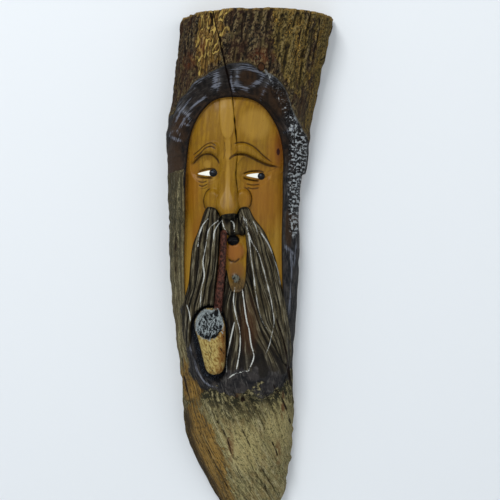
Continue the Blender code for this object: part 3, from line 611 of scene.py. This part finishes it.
wild = fade(-0.5, 1.5, hood)
wild = wild * fade(-1.0, 1.0, opening)
up_high = ease(372, 392, z)
fibres = 0.34 * grain(2.6, 34, 61) + 0.22 * grain(1.2, 17, 62)
fissures = ease(0.86, 0.99, 1 - np.abs(grain(6, 48, 63)))
fissures = fissures * ease(-0.2, 0.5, grain(14, 40, 64))
lumps = grain(3.2, 5.5, 65) * ease(-0.1, 0.6, grain(16, 22, 66))
flakes = ease(-0.12, 0.12, grain(4.5, 13, 67))
flakes = flakes - ease(-0.1, 0.1, grain(3.2, 9, 68))
rough = fibres * (1 + 1.2 * up_high) - FISSURE_DEPTH * fissures
rough = rough + (0.7 * lumps + 0.75 * flakes) * up_high
rough = rough + 0.5 * grain(3.0, 9, 69) * fade(110, 140, z)
lower_wood = fade(118, 135, z)
rough = rough * np.maximum(wild, lower_wood)
crack = np.zeros(x.shape)
for line, width, depth in CRACKS:
    far, along = beside(x, z, smooth_line(line))
    ends = ease(0, 0.08, 1 - along)
    if line is LONG_CRACK:
        width = profile(LONG_CRACK_WIDTHS, z)
    else:
        ends = ends * ease(0, 0.08, along)
    gap = width * ends * (0.75 + 0.5 * wander(z / 5, x / 30, 72))
    gash = np.minimum(gap, 0.6) * np.clip(1 - far / (CRACK_WIDTH * gap / 2 + 0.35), 0, 1)
    h = h - depth * gash
    crack = np.maximum(crack, gash)
knot = dome(x, z, TWIG_KNOT)
bore = dome(x, z, BORE_HOLE)
h = h - KNOT_DEPTH * knot - BORE_DEPTH * bore
chips = RIM_CHIPS * ease(0.1, 0.9, wander(girth / 9, still, 71)) * ease(HEIGHT - 4, HEIGHT, z)

# The log's mesh
# The sheet is wrapped over the limb. Its first row closes the broken end, its last rows lie over the
# sawn end, and one face is the flat sawn back.
ends_share = np.clip((np.arange(ROWS + END_ROWS + 1) - ROWS) / END_ROWS, 0, 1)[:, None]
h = np.maximum(h, LEAST_THICKNESS * flank)
relief_x, relief_h = rough * out_x, rough * out_h
carved_h = h + relief_h * flank
x_final = x + relief_x
h_final = carved_h - RIM_CHAMFER * flank * fade(0, RIM_CHAMFER, HEIGHT - z)
h_final = np.maximum(h_final, EDGE_THICKNESS * flank) * (1 - ends_share)
z_final = z - chips * (ends_share < 0.5)
notch_shift, notch_half_width, notch_depth = CRACK_NOTCH
from_notch = np.abs(x - LONG_CRACK[0][0] - notch_shift)
notch = notch_depth * np.clip(1 - from_notch / notch_half_width, 0, 1)
z_final = z_final - notch * (ends_share > 0) * (ends_share < 0.7)
h_final[:, 0] = h_final[:, -1] = 0
h_final[0] = 0
z_final[0] = z_final[1]
even = (sheet[0, :, 0] + 1) / 2
for end_row, beside_it in ((0, 1), (-1, -1)):
    x_final[end_row] = x_final[beside_it, 0] * (1 - even) + x_final[beside_it, -1] * even


def soften(field, rows, columns):
    """The mean over this many rows and columns each way."""
    for axis, reach in ((0, rows), (1, columns)):
        padded = np.pad(field, [(reach, reach) if k == axis else (0, 0) for k in (0, 1)], mode="edge")
        field = sum(
            np.take(padded, np.arange(field.shape[axis]) + k, axis) for k in range(2 * reach + 1)
        ) / (2 * reach + 1)
    return field


crevice = np.clip((carved_h - soften(carved_h, 3, 4)) / 0.9, -1, 1)
points = np.stack([x_final, -h_final, z_final - (HEIGHT - HANG_DROP)], axis=-1) / 1000
log.data.vertices.foreach_set("co", points.astype(np.float32).ravel())
log.data.update()

# The finish
# The face is bare wood under varnish, the hood and the hair are stained and brushed, and the rest is
# the limb's own weathered surface: dark and mossy near the top, pale and speckled below. Each mark
# says where one finish lies, and the shader gives it its colour and grain. Some marks lay painted shade
# or painted highlights instead: in grooves, folds, cracks and the pocket round the bowl, under the
# hood's lip and the chin, at the face's edge, along the hood's ridges, on the hair and on the pupils.
STUDIO_LIGHT = 0.92  # how bright a white surface shows in this light
OCHRE_WOOD = (
    ((-36, 455), (-14, 455), (-14, 436), (-17, 415), (-22, 400), (-36, 398), (-40, 415), (-38, 436)),
    (
        (-52, 102), (-40, 104), (-30, 97), (-22, 82), (-14, 56), (-8, 32), (-4, 5), (-15, -4),
        (-30, 20), (-48, 60),
    ),
    ((-52, 142), (-44, 140), (-37, 130), (-36, 112), (-46, 110), (-54, 120)),
)
MOSSY_WOOD = (
    ((27, 455), (54, 455), (60, 430), (58, 404), (54, 384), (44, 388), (34, 396), (24, 424)),
    ((62, 455), (88, 455), (78, 400), (68, 345), (58, 345), (59, 390), (64, 420)),
)
RUSTY_WOOD = (  # place across, height, half width, half height
    (-60, 340, 8, 13), (18, 408, 13, 9), (-5, 123, 6, 8), (-46, 408, 7, 9), (31, 330, 4, 16),
    (6, 178, 10, 30), (-34, 420, 4, 12), (-10, 72, 4, 18), (32, 66, 3, 15), (36, 106, 2.5, 15),
)
BROWN_STAIN = (  # ovals too, as all down to BLUSH are
    (24, 371, 23, 17), (5, 391, 10, 8), (-54, 348, 12, 17), (46, 268, 6, 9), (41, 262, 4, 22),
    (-60, 318, 12, 26),
)
SIDE_KNOT = (31.8, 328.6, 1.5, 3.4)
KNOT_HALO = (32.6, 331, 4.5, 20)
# Painted highlights on the face: the nose ridge and bridge, the forehead's right, the left upper lid and
# both lower sides
HIGHLIGHT_OVALS = (
    (-12, 300, 2.6, 26), (-12, 330, 3, 14), (12, 352, 16, 16), (-30, 317.5, 4, 4.5),
    (-47, 235, 6, 44), (33, 245, 6, 40),
)
SUNNED_WOOD = ((33, 92, 15, 38), (2, 70, 20, 26))
BLUSH = ((20, 288, 24, 34), (-44, 300, 10, 34), (30, 325, 10, 30), (-36, 255, 12, 30))
HOOD_STROKES = (  # line, width
    (((-50, 381), (-42, 389), (-33, 394.5), (-24, 398)), 4.5),
    (((-21.5, 398), (-21.8, 390), (-24.5, 381)), 3.0),
    (((-9, 396), (-9, 386), (-6, 379)), 1.6),
    (((-8, 398), (4, 399.5), (14, 396), (18.5, 392), (12, 386), (4, 382.5)), 2.4),
    (((-8, 388), (0, 384), (8, 380)), 3.6),
    (((-56, 345), (-48, 360), (-38, 371), (-26, 379)), 1.6),
    (((-60, 352), (-52, 366), (-40, 379)), 1.4),
    (((-51, 354), (-48, 352), (-44, 351)), 1.2),
    (((-64, 344), (-58, 340), (-52, 338)), 1.6),
    (((39.4, 242), (43.2, 238), (43.6, 215), (41.8, 195), (41, 181)), 1.1),
    (((37, 247), (42, 243), (47, 238)), 2.0),
    (((48, 250), (47, 240), (46, 228)), 1.4),
    (((-52, 204), (-49, 186), (-47, 168), (-44, 152)), 1.6),
    (((-42, 150), (-38, 137), (-30, 127), (-20, 124)), 1.0),
)


def zone(outline, sway=2.5):
    """How deep each place lies in an outline whose edge wanders."""
    swayed_x = x + sway * wander(z / 9, x / 9, 91)
    return inside(swayed_x, z + 2 * sway * ripple(7, 15, 92), outline)


def nearest_oval(ovals):
    """1 at the middle of the nearest oval and 0 outside them all."""
    return np.max([dome(x, z, oval) ** 2 for oval in ovals], axis=0)


white = np.maximum(*[inside(x, z, outline) for outline in WHITES])
pupil = np.max([r - np.hypot(x - cx, z - cz) for cx, cz, r in PUPILS], axis=0)
# A painted reflection on each pupil, a little up and to the left of its middle
glint = np.max([1 - np.hypot(x - cx + 0.6, z - cz - 0.9) / 1.5 for cx, cz, r in PUPILS], axis=0)
hood_brush = np.exp(-to_ridge / 1.8) * mid_hood * ease(335, 350, z) * 0.7
for line, width in HOOD_STROKES:
    far, along = beside(x, z, smooth_line(line))
    ends = ease(0, 0.25, along) * ease(0, 0.25, 1 - along)
    hood_brush = np.maximum(hood_brush, (1 - far / (1.5 * width)) * (0.4 + 0.6 * ends))
hood_brush = hood_brush * ease(-0.6, 0.6, np.maximum(hood, opening))
in_lower = ease(102, 138, z + 9 * ripple(8, 16, 81) + 3 * ripple(2.5, 4, 83))
stain = np.maximum(ease(-1, 1.5, hood), ease(-2, 0, opening)) * in_lower
left_frame = (x < -44) & (opening < 1)
stain = np.where(left_frame, stain * ease(268, 318, z + 9 * ripple(3, 8, 82)), stain)
low_frame = fade(0, 6 + 3 * wander(z / 8, x / 8, 84), -opening)
low_frame = low_frame * in_lower * fade(188, 206, z)
stain = np.maximum(stain, low_frame)
strand_high = np.where(tuft > 0, 0.9 - 1.2 * tuft_strands, strand_high)
hair_here = np.minimum(hair, 3) - 9 * fade(118, 150, z + 6 * ripple(4, 12, 87))
hood_round = np.where(z > HOOD_CENTRE[1], np.radians(bearing) * 55, np.sign(x) * (z - HOOD_CENTRE[1]))
hood_out = np.where(z > HOOD_CENTRE[1], from_centre, np.abs(x - HOOD_CENTRE[0]))
marks = {
    "bark": ease(285, 372, z + 16 * wander(girth / 12, z / 26, 85)) * wild,
    "pale": fade(70, 190, z),
    "ochre": np.max([zone(outline) for outline in OCHRE_WOOD], axis=0),
    "mossy": np.max([zone(outline, 4) for outline in MOSSY_WOOD], axis=0),
    "rusty": nearest_oval(RUSTY_WOOD),
    "burnt": fade(3, 10, x - left + 2 * wander(z / 9, x / 9, 86)) * fade(96, 112, z),
    "rim": ease(HEIGHT - 3.2, HEIGHT - 0.6, z),
    "stain": stain * 2 - 1,
    "brown": nearest_oval(BROWN_STAIN),
    # Painted shade in the bottoms of the hood's scoops, and a painted highlight in pale streaks along
    # the ridges between them
    "scoop_shade": scoop,
    "hood_ridge_highlight": fade(0.1, 0.5, scoop) * ease(325, 350, z) * fade(0.45, 0.7, cut),
    "dusky": np.maximum(
        ease(90, 116, z + 6 * ripple(9, 12, 88)) * fade(130, 150, z),
        0.7 * (x < -40) * ease(190, 260, z),
    ),
    "low_hair": fade(125, 175, z),
    "hood_brush": hood_brush,
    # Painted shadow under the hood's overhanging lip, above the forehead
    "hood_lip_shade": ease(0.5, 0.9, cut) * (hood > 0) * ease(300, 330, z),
    "bare_face": np.clip(np.minimum(opening - 0.9, -hair), -9, 9) - 20 * fade(196, 202, z),
    # Painted shade in the knife-cut folds and the smile line
    "fold_shade": np.maximum(folds, smile),
    # Painted highlight over these ovals and the flat cut on the forehead
    "face_highlight": np.maximum(nearest_oval(HIGHLIGHT_OVALS), ease(-0.3, 0.5, flat_cut)),
    "sunned": nearest_oval(SUNNED_WOOD),
    "blush": nearest_oval(BLUSH),
    # Painted shade: the face is darker near the edge of the opening, in its upper part
    "edge_shade": fade(0.5, 5, opening) * ease(255, 300, z),
    # Painted shade under the chin: the wood there is darkened to brown grey
    "under_chin_shade": fade(211, 226, z + 3 * ripple(4, 6, 89)) * (np.abs(x - CHIN[0]) < 12),
    "side_knot": dome(x, z, SIDE_KNOT),
    "knot_halo": nearest_oval((KNOT_HALO,)),
    "hair": hair_here,
    "strand": strand_high,
    "stroke": stroke,
    "pecked": pecked,
    "stem": radius - stem_far,
    "bowl": bowl,
    "bowl_right": ease(-26, -16, x),
    "ash": 1 - np.hypot((x - RIM[0]) / RIM[2], (z - RIM[1]) / RIM[3]),
    "white_of_eye": white,
    "pupil": pupil,
    "glint": glint,
    "mouth": mouth,
    "lip": lip,
    "chin": chin,
    "soul_patch": soul_patch,
    "crevice": crevice,
    # Painted shade inside the cracks and the bore hole
    "crack": np.maximum(crack, bore),
    "knot": knot,
    # Painted shade in the pocket cut round the bowl
    "pocket": pocket * (bowl < 1.0) * (opening > 0),
}
for name, values in marks.items():
    attribute = log.data.attributes.new(name, "FLOAT", "POINT")
    attribute.data.foreach_set("value", values.astype(np.float32).ravel())
on_hood = (hood > 0) & (opening < 0) & (z > 200)
across_grain = np.where(hair > 0, hair_across, np.where(on_hood, hood_out, fibre))
fibre_place = np.stack([across_grain, h, np.where(on_hood, hood_round, z)], axis=-1)
attribute = log.data.attributes.new("fibre_place", "FLOAT_VECTOR", "POINT")
attribute.data.foreach_set("vector", fibre_place.astype(np.float32).ravel())

bpy.ops.object.mode_set(mode="EDIT")
bpy.ops.mesh.select_all(action="SELECT")
bpy.ops.mesh.remove_doubles(threshold=WELD)
bpy.ops.mesh.select_mode(type="EDGE")
bpy.ops.mesh.select_all(action="DESELECT")
bpy.ops.mesh.select_non_manifold(
    extend=False, use_wire=False, use_multi_face=False, use_non_contiguous=False, use_verts=False
)
bpy.ops.mesh.edge_face_add()
bpy.ops.mesh.quads_convert_to_tris(ngon_method="CLIP")
bpy.ops.mesh.select_all(action="SELECT")
bpy.ops.mesh.normals_make_consistent(inside=False)
bpy.ops.object.mode_set(mode="OBJECT")
bpy.ops.object.shade_smooth_by_angle(angle=math.radians(SMOOTH_UNDER))


class Shade:
    """A socket in a material. Sums and products of these and of numbers add Math nodes."""

    def __init__(self, tree, socket):
        self.tree = tree
        self.socket = socket

    def node(self, kind, settings=None, sockets=None, result=0):
        """Adds a node to the same material and gives one of its outputs."""
        node = self.tree.nodes.new(kind)
        for name, value in (settings or {}).items():
            setattr(node, name, value)
        for name, value in (sockets or {}).items():
            if isinstance(value, Shade):
                self.tree.links.new(value.socket, node.inputs[name])
            else:
                node.inputs[name].default_value = value
        return Shade(self.tree, node.outputs[result])

    def math(self, operation, a, b=0.0):
        return self.node("ShaderNodeMath", {"operation": operation}, {0: a, 1: b})

    def __add__(self, other):
        return self.math("ADD", self, other)

    def __sub__(self, other):
        return self.math("SUBTRACT", self, other)

    def __rsub__(self, other):
        return self.math("SUBTRACT", other, self)

    def __mul__(self, other):
        return self.math("MULTIPLY", self, other)

    __radd__ = __add__
    __rmul__ = __mul__

    def size(self):
        return self.math("ABSOLUTE", self)

    def over(self, low, high):
        """0 where this is under low, 1 where it is over high, and smooth between."""
        sockets = {"Value": self, "From Min": low, "From Max": high}
        return self.node("ShaderNodeMapRange", {"interpolation_type": "SMOOTHSTEP"}, sockets)

    def under(self, high, low):
        """1 where this is under low, 0 where it is over high, and smooth between."""
        return 1 - self.over(low, high)

    def mix(self, under, colour):
        """The colour where this is 1, and what is under it where this is 0."""
        sockets = {0: self, 6: paint(under), 7: paint(colour)}
        return self.node("ShaderNodeMix", {"data_type": "RGBA"}, sockets, 2)


def paint(colour):
    """A colour as a Mix node takes it, given as it looks in the studio's light, from 0 to 255."""
    if isinstance(colour, Shade):
        return colour
    looks = [part / 255 for part in colour]
    linear = [c / 12.92 if c <= 0.04045 else ((c + 0.055) / 1.055) ** 2.4 for c in looks]
    return (*(c / STUDIO_LIGHT for c in linear), 1.0)


def coated(under, *coats):
    """What lies under, with each coat laid over it in turn where its share is 1."""
    for share, coat in coats:
        under = share.mix(under, coat)
    return under


def new_material(name):
    """A new material, the place on the object as a shade in it, and its shader."""
    material = bpy.data.materials.new(name)
    material.use_nodes = True
    tree = material.node_tree
    place = Shade(tree, tree.nodes.new("ShaderNodeTexCoord").outputs["Object"])
    return material, place, tree.nodes["Principled BSDF"]


def patches(vector, size, detail=3.0, rough=0.6, seed=0.0):
    """Soft noise from 0 to 1 whose patches have this size along each axis of the vector."""
    scale = tuple(1 / s for s in size)
    start = (seed, seed * 0.7, seed * 0.3)
    moved = vector.node("ShaderNodeMapping", {}, {"Vector": vector, "Scale": scale, "Location": start})
    sockets = {"Vector": moved, "Scale": 1.0, "Detail": detail, "Roughness": rough}
    return vector.node("ShaderNodeTexNoise", {}, sockets, "Fac")


material, place, shader = new_material("carved_and_weathered_wood")
on = {name: place.node("ShaderNodeAttribute", {"attribute_name": name}, {}, "Fac") for name in marks}
along_fibres = place.node("ShaderNodeAttribute", {"attribute_name": "fibre_place"}, {}, "Vector")
fine_fibres = patches(along_fibres, (0.8, 3.0, 9.0), 4.0, 0.65)
long_fibres = patches(along_fibres, (2.4, 8.0, 40.0), 4.0, 0.6, 3.0)
broad = patches(along_fibres, (9.0, 14.0, 26.0), 3.0, 0.55, 7.0)
specks = patches(along_fibres, (0.8, 0.9, 1.0), 2.0, 0.6, 11.0)
grit = patches(along_fibres, (1.7, 2.0, 2.6), 4.0, 0.7, 13.0)
clouds = patches(along_fibres, (5.0, 6.0, 9.0), 4.0, 0.65, 17.0)
winding = patches(along_fibres, (6.0, 9.0, 14.0), 1.5, 0.5, 23.0)
strands = patches(along_fibres, (0.9, 60.0, 26.0), 2.0, 0.6, 29.0)
stipple = patches(along_fibres, (0.55, 0.6, 0.6), 1.0, 0.5, 31.0)
worms = (winding - 0.5).size().under(0.05, 0.02)
worm_edges = (winding - 0.5).size().under(0.08, 0.05)
# Painted shade: darker where the surface lies below what is round it, in furrows, cuts and grooves
groove_shade = (on["crevice"] * -1.0).over(0.05, 0.6)
ridge = on["crevice"].over(0.1, 0.5)

pale_wood = coated(
    fine_fibres.over(0.36, 0.62).mix((92, 86, 55), (158, 149, 104)),
    (clouds.over(0.42, 0.6) * 0.5, (128, 106, 66)),
)
wood = coated(
    fine_fibres.over(0.38, 0.62).mix((66, 58, 38), (110, 100, 74)),
    (on["pale"], pale_wood),
    (long_fibres.over(0.5, 0.62) * 0.6, (168, 160, 122)),
    (strands.under(0.46, 0.38) * 0.6, (58, 50, 32)),
    (on["sunned"].over(0.0, 0.8) * 0.55, (168, 156, 106)),
    (grit.over(0.53, 0.6) * 0.75, (50, 47, 28)),
    (specks.over(0.58, 0.66) * 0.7, (46, 46, 28)),
    (on["dusky"] * (grit + clouds - 0.5).over(0.36, 0.52), (36, 36, 24)),
)
barky = coated(
    grit.over(0.42, 0.6).mix((20, 16, 12), (80, 64, 44)),
    (broad.over(0.48, 0.58) * 0.6, (50, 30, 20)),
    (clouds.over(0.54, 0.62) * 0.5, (96, 84, 52)),
    (specks.over(0.63, 0.7) * broad.under(0.5, 0.42) * 0.8, (136, 130, 112)),
)
ochre_here = (on["ochre"] + (clouds - 0.5) * 22.0).over(-1.5, 2.5)
ochre_wood = coated(
    grit.over(0.38, 0.58).mix((62, 43, 18), (134, 102, 46)),
    (long_fibres.over(0.5, 0.58) * 0.75, (42, 27, 11)),
    (strands.over(0.55, 0.62) * 0.5, (176, 140, 72)),
)
veins = ochre_here * on["bark"]
mossy_here = (on["mossy"] + (clouds - 0.5) * 26.0).over(-2.0, 3.0) * on["bark"]
mossy_wood = grit.over(0.4, 0.58).mix((40, 34, 18), (116, 98, 50))
weathered = coated(
    on["bark"].mix(wood, barky),
    (ochre_here * 0.85, ochre_wood),
    (veins * worm_edges * 0.85, (34, 25, 12)),
    (veins * worms * 0.9, (184, 156, 82)),
    (mossy_here * 0.85, mossy_wood),
    (mossy_here * specks.over(0.54, 0.64) * broad.over(0.46, 0.56), (176, 134, 56)),
    (on["rusty"] * clouds.over(0.4, 0.52) * 0.75, (88, 46, 24)),
    (on["rim"] * clouds.over(0.38, 0.5) * 0.8, (150, 122, 66)),
    (on["burnt"] * grit.over(0.3, 0.5) * 0.9, (34, 26, 14)),
    # painted shade in the furrows
    (groove_shade * (0.45 + on["bark"] * 0.3), (20, 15, 9)),
    (ridge * grit.over(0.45, 0.6) * 0.35, (150, 134, 92)),
)
stain_here = (on["stain"] + (clouds - 0.5) * 1.6 + (grit - 0.5) * 1.6).over(-0.15, 0.2)
stained = coated(
    clouds.over(0.36, 0.62).mix((18, 19, 22), (50, 47, 46)),
    (fine_fibres.over(0.5, 0.66) * 0.6, (84, 82, 78)),
    # painted shade in the scoops, then a painted highlight along the hood's ridges
    (on["scoop_shade"].over(0.2, 0.9) * 0.6, (28, 21, 16)),
    (on["hood_ridge_highlight"] * strands.over(0.42, 0.6) * 0.5, (92, 94, 100)),
    (on["brown"].over(0.1, 0.7) * 0.75, (54, 37, 21)),
    # painted shadow under the hood's lip, near black
    (on["hood_lip_shade"] * 0.85, clouds.over(0.4, 0.6).mix((15, 11, 8), (42, 29, 18))),
    # painted shade in the cuts
    (groove_shade * 0.6, (10, 10, 11)),
)
brushing = on["hood_brush"] + (strands - 0.5) * 2.6 + (fine_fibres - 0.5) * 2.2
brushing = brushing.over(0.4, 0.95) * on["hood_brush"].over(0.05, 0.4)
peck_edges = ridge * 0.75 + ridge * specks.over(0.45, 0.6) * 0.4 + specks.over(0.6, 0.68) * 0.4
in_hair = (on["hair"] + (specks - 0.5) * 1.4 + (grit - 0.5) * 1.4).over(-0.3, 0.4)
# Painted highlight and shade: the hair is lighter on the crests of its strands and darker in the cuts
# between, and the right moustache is also paler in its own tone
hair_shine = (on["strand"] + (fine_fibres - 0.5) * 0.8).over(0.25, 0.95)
hair_colour = coated(
    hair_shine.mix((15, 13, 9), (92, 84, 62)),
    (strands.under(0.48, 0.4), (20, 17, 12)),
    (strands.over(0.53, 0.6) * on["strand"].over(0.3, 0.6) * 0.75, (132, 126, 106)),
    (clouds.over(0.42, 0.58) * 0.55, (36, 28, 16)),
    (on["rusty"] * 0.5, (74, 46, 25)),
    (on["low_hair"] * clouds.over(0.3, 0.5) * 0.75, (30, 29, 28)),
    # painted shade in the cuts between the locks
    (groove_shade * 0.7, (9, 8, 6)),
)
on_face = on["bare_face"].over(-0.2, 0.3)
face_wood = coated(
    long_fibres.over(0.35, 0.65).mix((114, 81, 12), (134, 100, 22)),
    (clouds.over(0.45, 0.65) * 0.4, (102, 70, 20)),
    # painted highlight
    (on["face_highlight"].over(0.0, 0.7) * 0.6, (154, 119, 46)),
    (on["blush"] * 0.6, (130, 80, 18)),
    # painted shade near the opening's edge
    (on["edge_shade"] * 0.55, (96, 64, 20)),
    (on["lip"].over(0.0, 0.9) * 0.75, (130, 78, 32)),
    (on["chin"].over(0.0, 1.0) * 0.8, (102, 66, 28)),
    # painted shade under the chin
    (on["under_chin_shade"] * 0.9, grit.over(0.4, 0.6).mix((40, 32, 20), (84, 68, 42))),
    # painted shade in the folds
    (on["fold_shade"].over(0.08, 0.55) * 0.85, (54, 33, 8)),
    (grit.over(0.62, 0.7) * 0.35, (70, 46, 14)),
    (on["knot_halo"] * 0.7, (96, 46, 16)),
    (on["side_knot"].over(0.1, 0.6), (44, 16, 10)),
)
soul_here = (on["soul_patch"] + (clouds - 0.5) * 3.0 + (specks - 0.5) * 2.0 - 0.2).over(0.2, 0.5)
soul_colour = grit.over(0.44, 0.56).mix((24, 23, 18), (88, 90, 80))
# painted shade: near black, with a few blue-grey specks
pocket_shade_colour = specks.over(0.55, 0.68).mix((9, 12, 17), (72, 80, 92))
stroke_here = (on["stroke"] + (specks - 0.5) * 0.8).under(0.62, 0.3)
stem_colour = grit.over(0.42, 0.58).mix((28, 12, 7), (82, 48, 38))
bowl_colour = coated(
    grit.over(0.36, 0.58).mix((112, 84, 34), (172, 154, 94)),
    (on["bowl_right"] * clouds.over(0.35, 0.55) * 0.8, (112, 66, 24)),
    (clouds.over(0.56, 0.62) * grit.over(0.45, 0.55), (40, 26, 10)),
    # painted shade in the bowl's hollows
    (groove_shade * 0.7, (40, 24, 8)),
)
ash_here = (on["ash"] + (grit - 0.5) * 0.7 + (clouds - 0.5) * 0.9).over(-0.05, 0.03)
ash_grain = (grit * 0.7 + stipple * 0.3 + on["crevice"] * 0.12).over(0.5, 0.6)
colour = coated(
    weathered,
    (stain_here, stained),
    (brushing * 0.48, (136, 142, 156)),
    (on["pecked"].over(-0.5, 2.5) * peck_edges, (164, 170, 172)),
    (in_hair, hair_colour),
    (on_face, face_wood),
    (on["mouth"].over(0.05, 0.4), (10, 11, 14)),
    (soul_here * on["soul_patch"].over(0.05, 0.3), soul_colour),
    (on["pocket"].over(0.3, 0.8) * 0.92, pocket_shade_colour),
    (stroke_here * 0.92, (192, 194, 188)),
    (on["stem"].over(-0.1, 0.3), stem_colour),
    (on["bowl"].over(-0.2, 0.4), bowl_colour),
    (ash_here, ash_grain.mix((12, 15, 17), (136, 145, 146))),
    (on["white_of_eye"].over(-0.1, 0.3), (232, 233, 222)),
    (on["pupil"].over(-0.15, 0.15), (12, 14, 18)),
    # painted reflection on the pupils
    (on["glint"].over(0.2, 0.8) * 0.5, (90, 104, 120)),
    # painted shade in the cracks and the bore hole
    (on["crack"].over(0.05, 0.3) * 0.9, (26, 14, 7)),
    (on["knot"].over(0.05, 0.3), on["knot"].over(0.45, 0.7).mix((26, 16, 9), (66, 42, 24))),
)
tree = material.node_tree
tree.links.new(colour.socket, shader.inputs["Base Color"])
roughness = 0.85 - on_face * 0.35 - grit * 0.1
tree.links.new(roughness.socket, shader.inputs["Roughness"])
tree.links.new((on_face * 0.08).socket, shader.inputs["Coat Weight"])
shader.inputs["Coat Roughness"].default_value = 0.3
shader.inputs["Specular IOR Level"].default_value = 0.12
bumps = (fine_fibres + grit * 1.2 + specks * 0.4) * (1 + on["bark"] * 0.8 - on_face * 0.9)
bump = place.node("ShaderNodeBump", {}, {"Strength": 0.9, "Distance": 0.001, "Height": bumps})
tree.links.new(bump.socket, shader.inputs["Normal"])
log.data.materials.append(material)

# The sawn end and the sawn back
# The top was cut across with a saw and shows half of each growth ring. The back was split and then
# sawn flat. Neither is stained, and both have gone grey brown.
PITH_ACROSS = 0.0145  # in metres, off the plumb line
RING_SCALE = 110.0
DRY_WOOD_ROUGHNESS = 0.85

end_material, place, shader = new_material("sawn_end_grain")
pith = place.node("ShaderNodeMapping", {}, {"Vector": place, "Location": (-PITH_ACROSS, 0.0, 0.0)})
sockets = {"Vector": pith, "Scale": RING_SCALE, "Distortion": 2.0, "Detail": 2.0}
growth_rings = place.node(
    "ShaderNodeTexWave", {"wave_type": "RINGS", "rings_direction": "Z"}, sockets, "Fac"
)
end_grain = growth_rings * 0.45 + patches(place, (0.003, 0.003, 0.003)) * 0.55
end_colour = end_grain.over(0.2, 0.8).mix((100, 78, 46), (138, 111, 67))
end_material.node_tree.links.new(end_colour.socket, shader.inputs["Base Color"])
shader.inputs["Roughness"].default_value = DRY_WOOD_ROUGHNESS
log.data.materials.append(end_material)

back_material, place, shader = new_material("sawn_back")
saw_lines = patches(place, (0.0016, 0.01, 0.05), 4.0)
saw_marks = patches(place, (0.03, 0.01, 0.0012), 2.0, 0.5, 5.0)
back_grain = saw_lines * 0.88 + saw_marks * 0.12
back_colour = back_grain.over(0.3, 0.7).mix((104, 82, 50), (150, 124, 82))
back_material.node_tree.links.new(back_colour.socket, shader.inputs["Base Color"])
shader.inputs["Roughness"].default_value = DRY_WOOD_ROUGHNESS
sockets = {"Strength": 0.4, "Distance": 0.0003, "Height": saw_lines + saw_marks * 0.4}
saw_bump = place.node("ShaderNodeBump", {}, sockets)
back_material.node_tree.links.new(saw_bump.socket, shader.inputs["Normal"])
log.data.materials.append(back_material)
top_height = (HANG_DROP - RIM_CHAMFER) / 1000
for face_of_log in log.data.polygons:
    if face_of_log.normal.y > 0.99 and face_of_log.center.y > -0.0001:
        face_of_log.material_index = 2
    elif face_of_log.normal.z > 0.7 and face_of_log.center.z > top_height:
        face_of_log.material_index = 1
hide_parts("carved_log")
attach(log, "root")

# The wall and the floor
# A pale wall just behind the back, and a pale floor under the lower tip. The wall can't be seen from
# behind, so that it hides nothing of the back. From here on, sizes are in metres.
WALL_GAP = 0.002
FLOOR_DROP = 0.12
STAGE_SIZE = 4.0
WALL_WHITE = (0.76, 0.795, 0.82, 1)
FLOOR_WHITE = (0.80, 0.83, 0.86, 1)

bpy.ops.object.select_all(action="DESELECT")
bpy.ops.mesh.primitive_plane_add(
    size=STAGE_SIZE, location=(0, WALL_GAP, 0), rotation=(math.pi / 2, 0, 0)
)
wall = bpy.context.object
wall.name = "wall"
wall.visible_shadow = False
wall.visible_diffuse = False
bpy.ops.object.transform_apply(location=True, rotation=True, scale=True)
wall_material, place, shader = new_material("pale_wall")
shader.inputs["Base Color"].default_value = WALL_WHITE
shader.inputs["Roughness"].default_value = 0.9
behind = place.node("ShaderNodeNewGeometry", {}, {}, "Backfacing")
clear = place.node("ShaderNodeBsdfTransparent", {}, {"Color": (1, 1, 1, 1)})
painted = Shade(place.tree, shader.outputs[0])
shown = place.node("ShaderNodeMixShader", {}, {0: behind, 1: painted, 2: clear})
place.tree.links.new(shown.socket, place.tree.nodes["Material Output"].inputs["Surface"])
wall.data.materials.append(wall_material)
floor_height = -(HEIGHT - HANG_DROP) / 1000 - FLOOR_DROP
bpy.ops.mesh.primitive_plane_add(size=STAGE_SIZE, location=(0, 0, floor_height))
floor = bpy.context.object
floor.name = "floor"
bpy.ops.object.transform_apply(location=True, rotation=True, scale=True)
floor_material, place, shader = new_material("pale_floor")
shader.inputs["Base Color"].default_value = FLOOR_WHITE
shader.inputs["Roughness"].default_value = 0.8
floor.data.materials.append(floor_material)

# The light and the camera
# A large soft light from the upper left in front, a weaker one from the right, and a pale sky all
# round. The camera looks straight at the wall, from a little over a metre away.
KEY_LIGHT = ((-0.7, -1.7, 1.3), 0.8, 32.0)  # place, size, power
FILL_LIGHT = ((1.4, -1.8, 0.2), 1.4, 7.0)
SKY_COLOUR = (0.93, 0.96, 1.0, 1)
SKY_STRENGTH = 0.45
CAMERA_PLACE = (0.0072, -1.150, -0.112)
LENS = 92


def soft_light(name, place, size, power):
    """A square lamp that points at the middle of the carving."""
    bpy.ops.object.light_add(type="AREA", location=place)
    lamp = bpy.context.object
    lamp.name = name
    lamp.data.size = size
    lamp.data.energy = power
    lamp.rotation_euler = (-lamp.location).to_track_quat("-Z", "Y").to_euler()


soft_light("key_light", *KEY_LIGHT)
soft_light("fill_light", *FILL_LIGHT)
world = bpy.data.worlds.new("pale_sky")
world.use_nodes = True
sky = world.node_tree.nodes["Background"]
sky.inputs["Color"].default_value = SKY_COLOUR
sky.inputs["Strength"].default_value = SKY_STRENGTH
bpy.context.scene.world = world
bpy.ops.object.camera_add(location=CAMERA_PLACE, rotation=(math.pi / 2, 0, 0))
camera = bpy.context.object
camera.data.sensor_width = 36
camera.data.lens = LENS
bpy.context.scene.camera = camera
bpy.context.scene.view_settings.view_transform = "Standard"
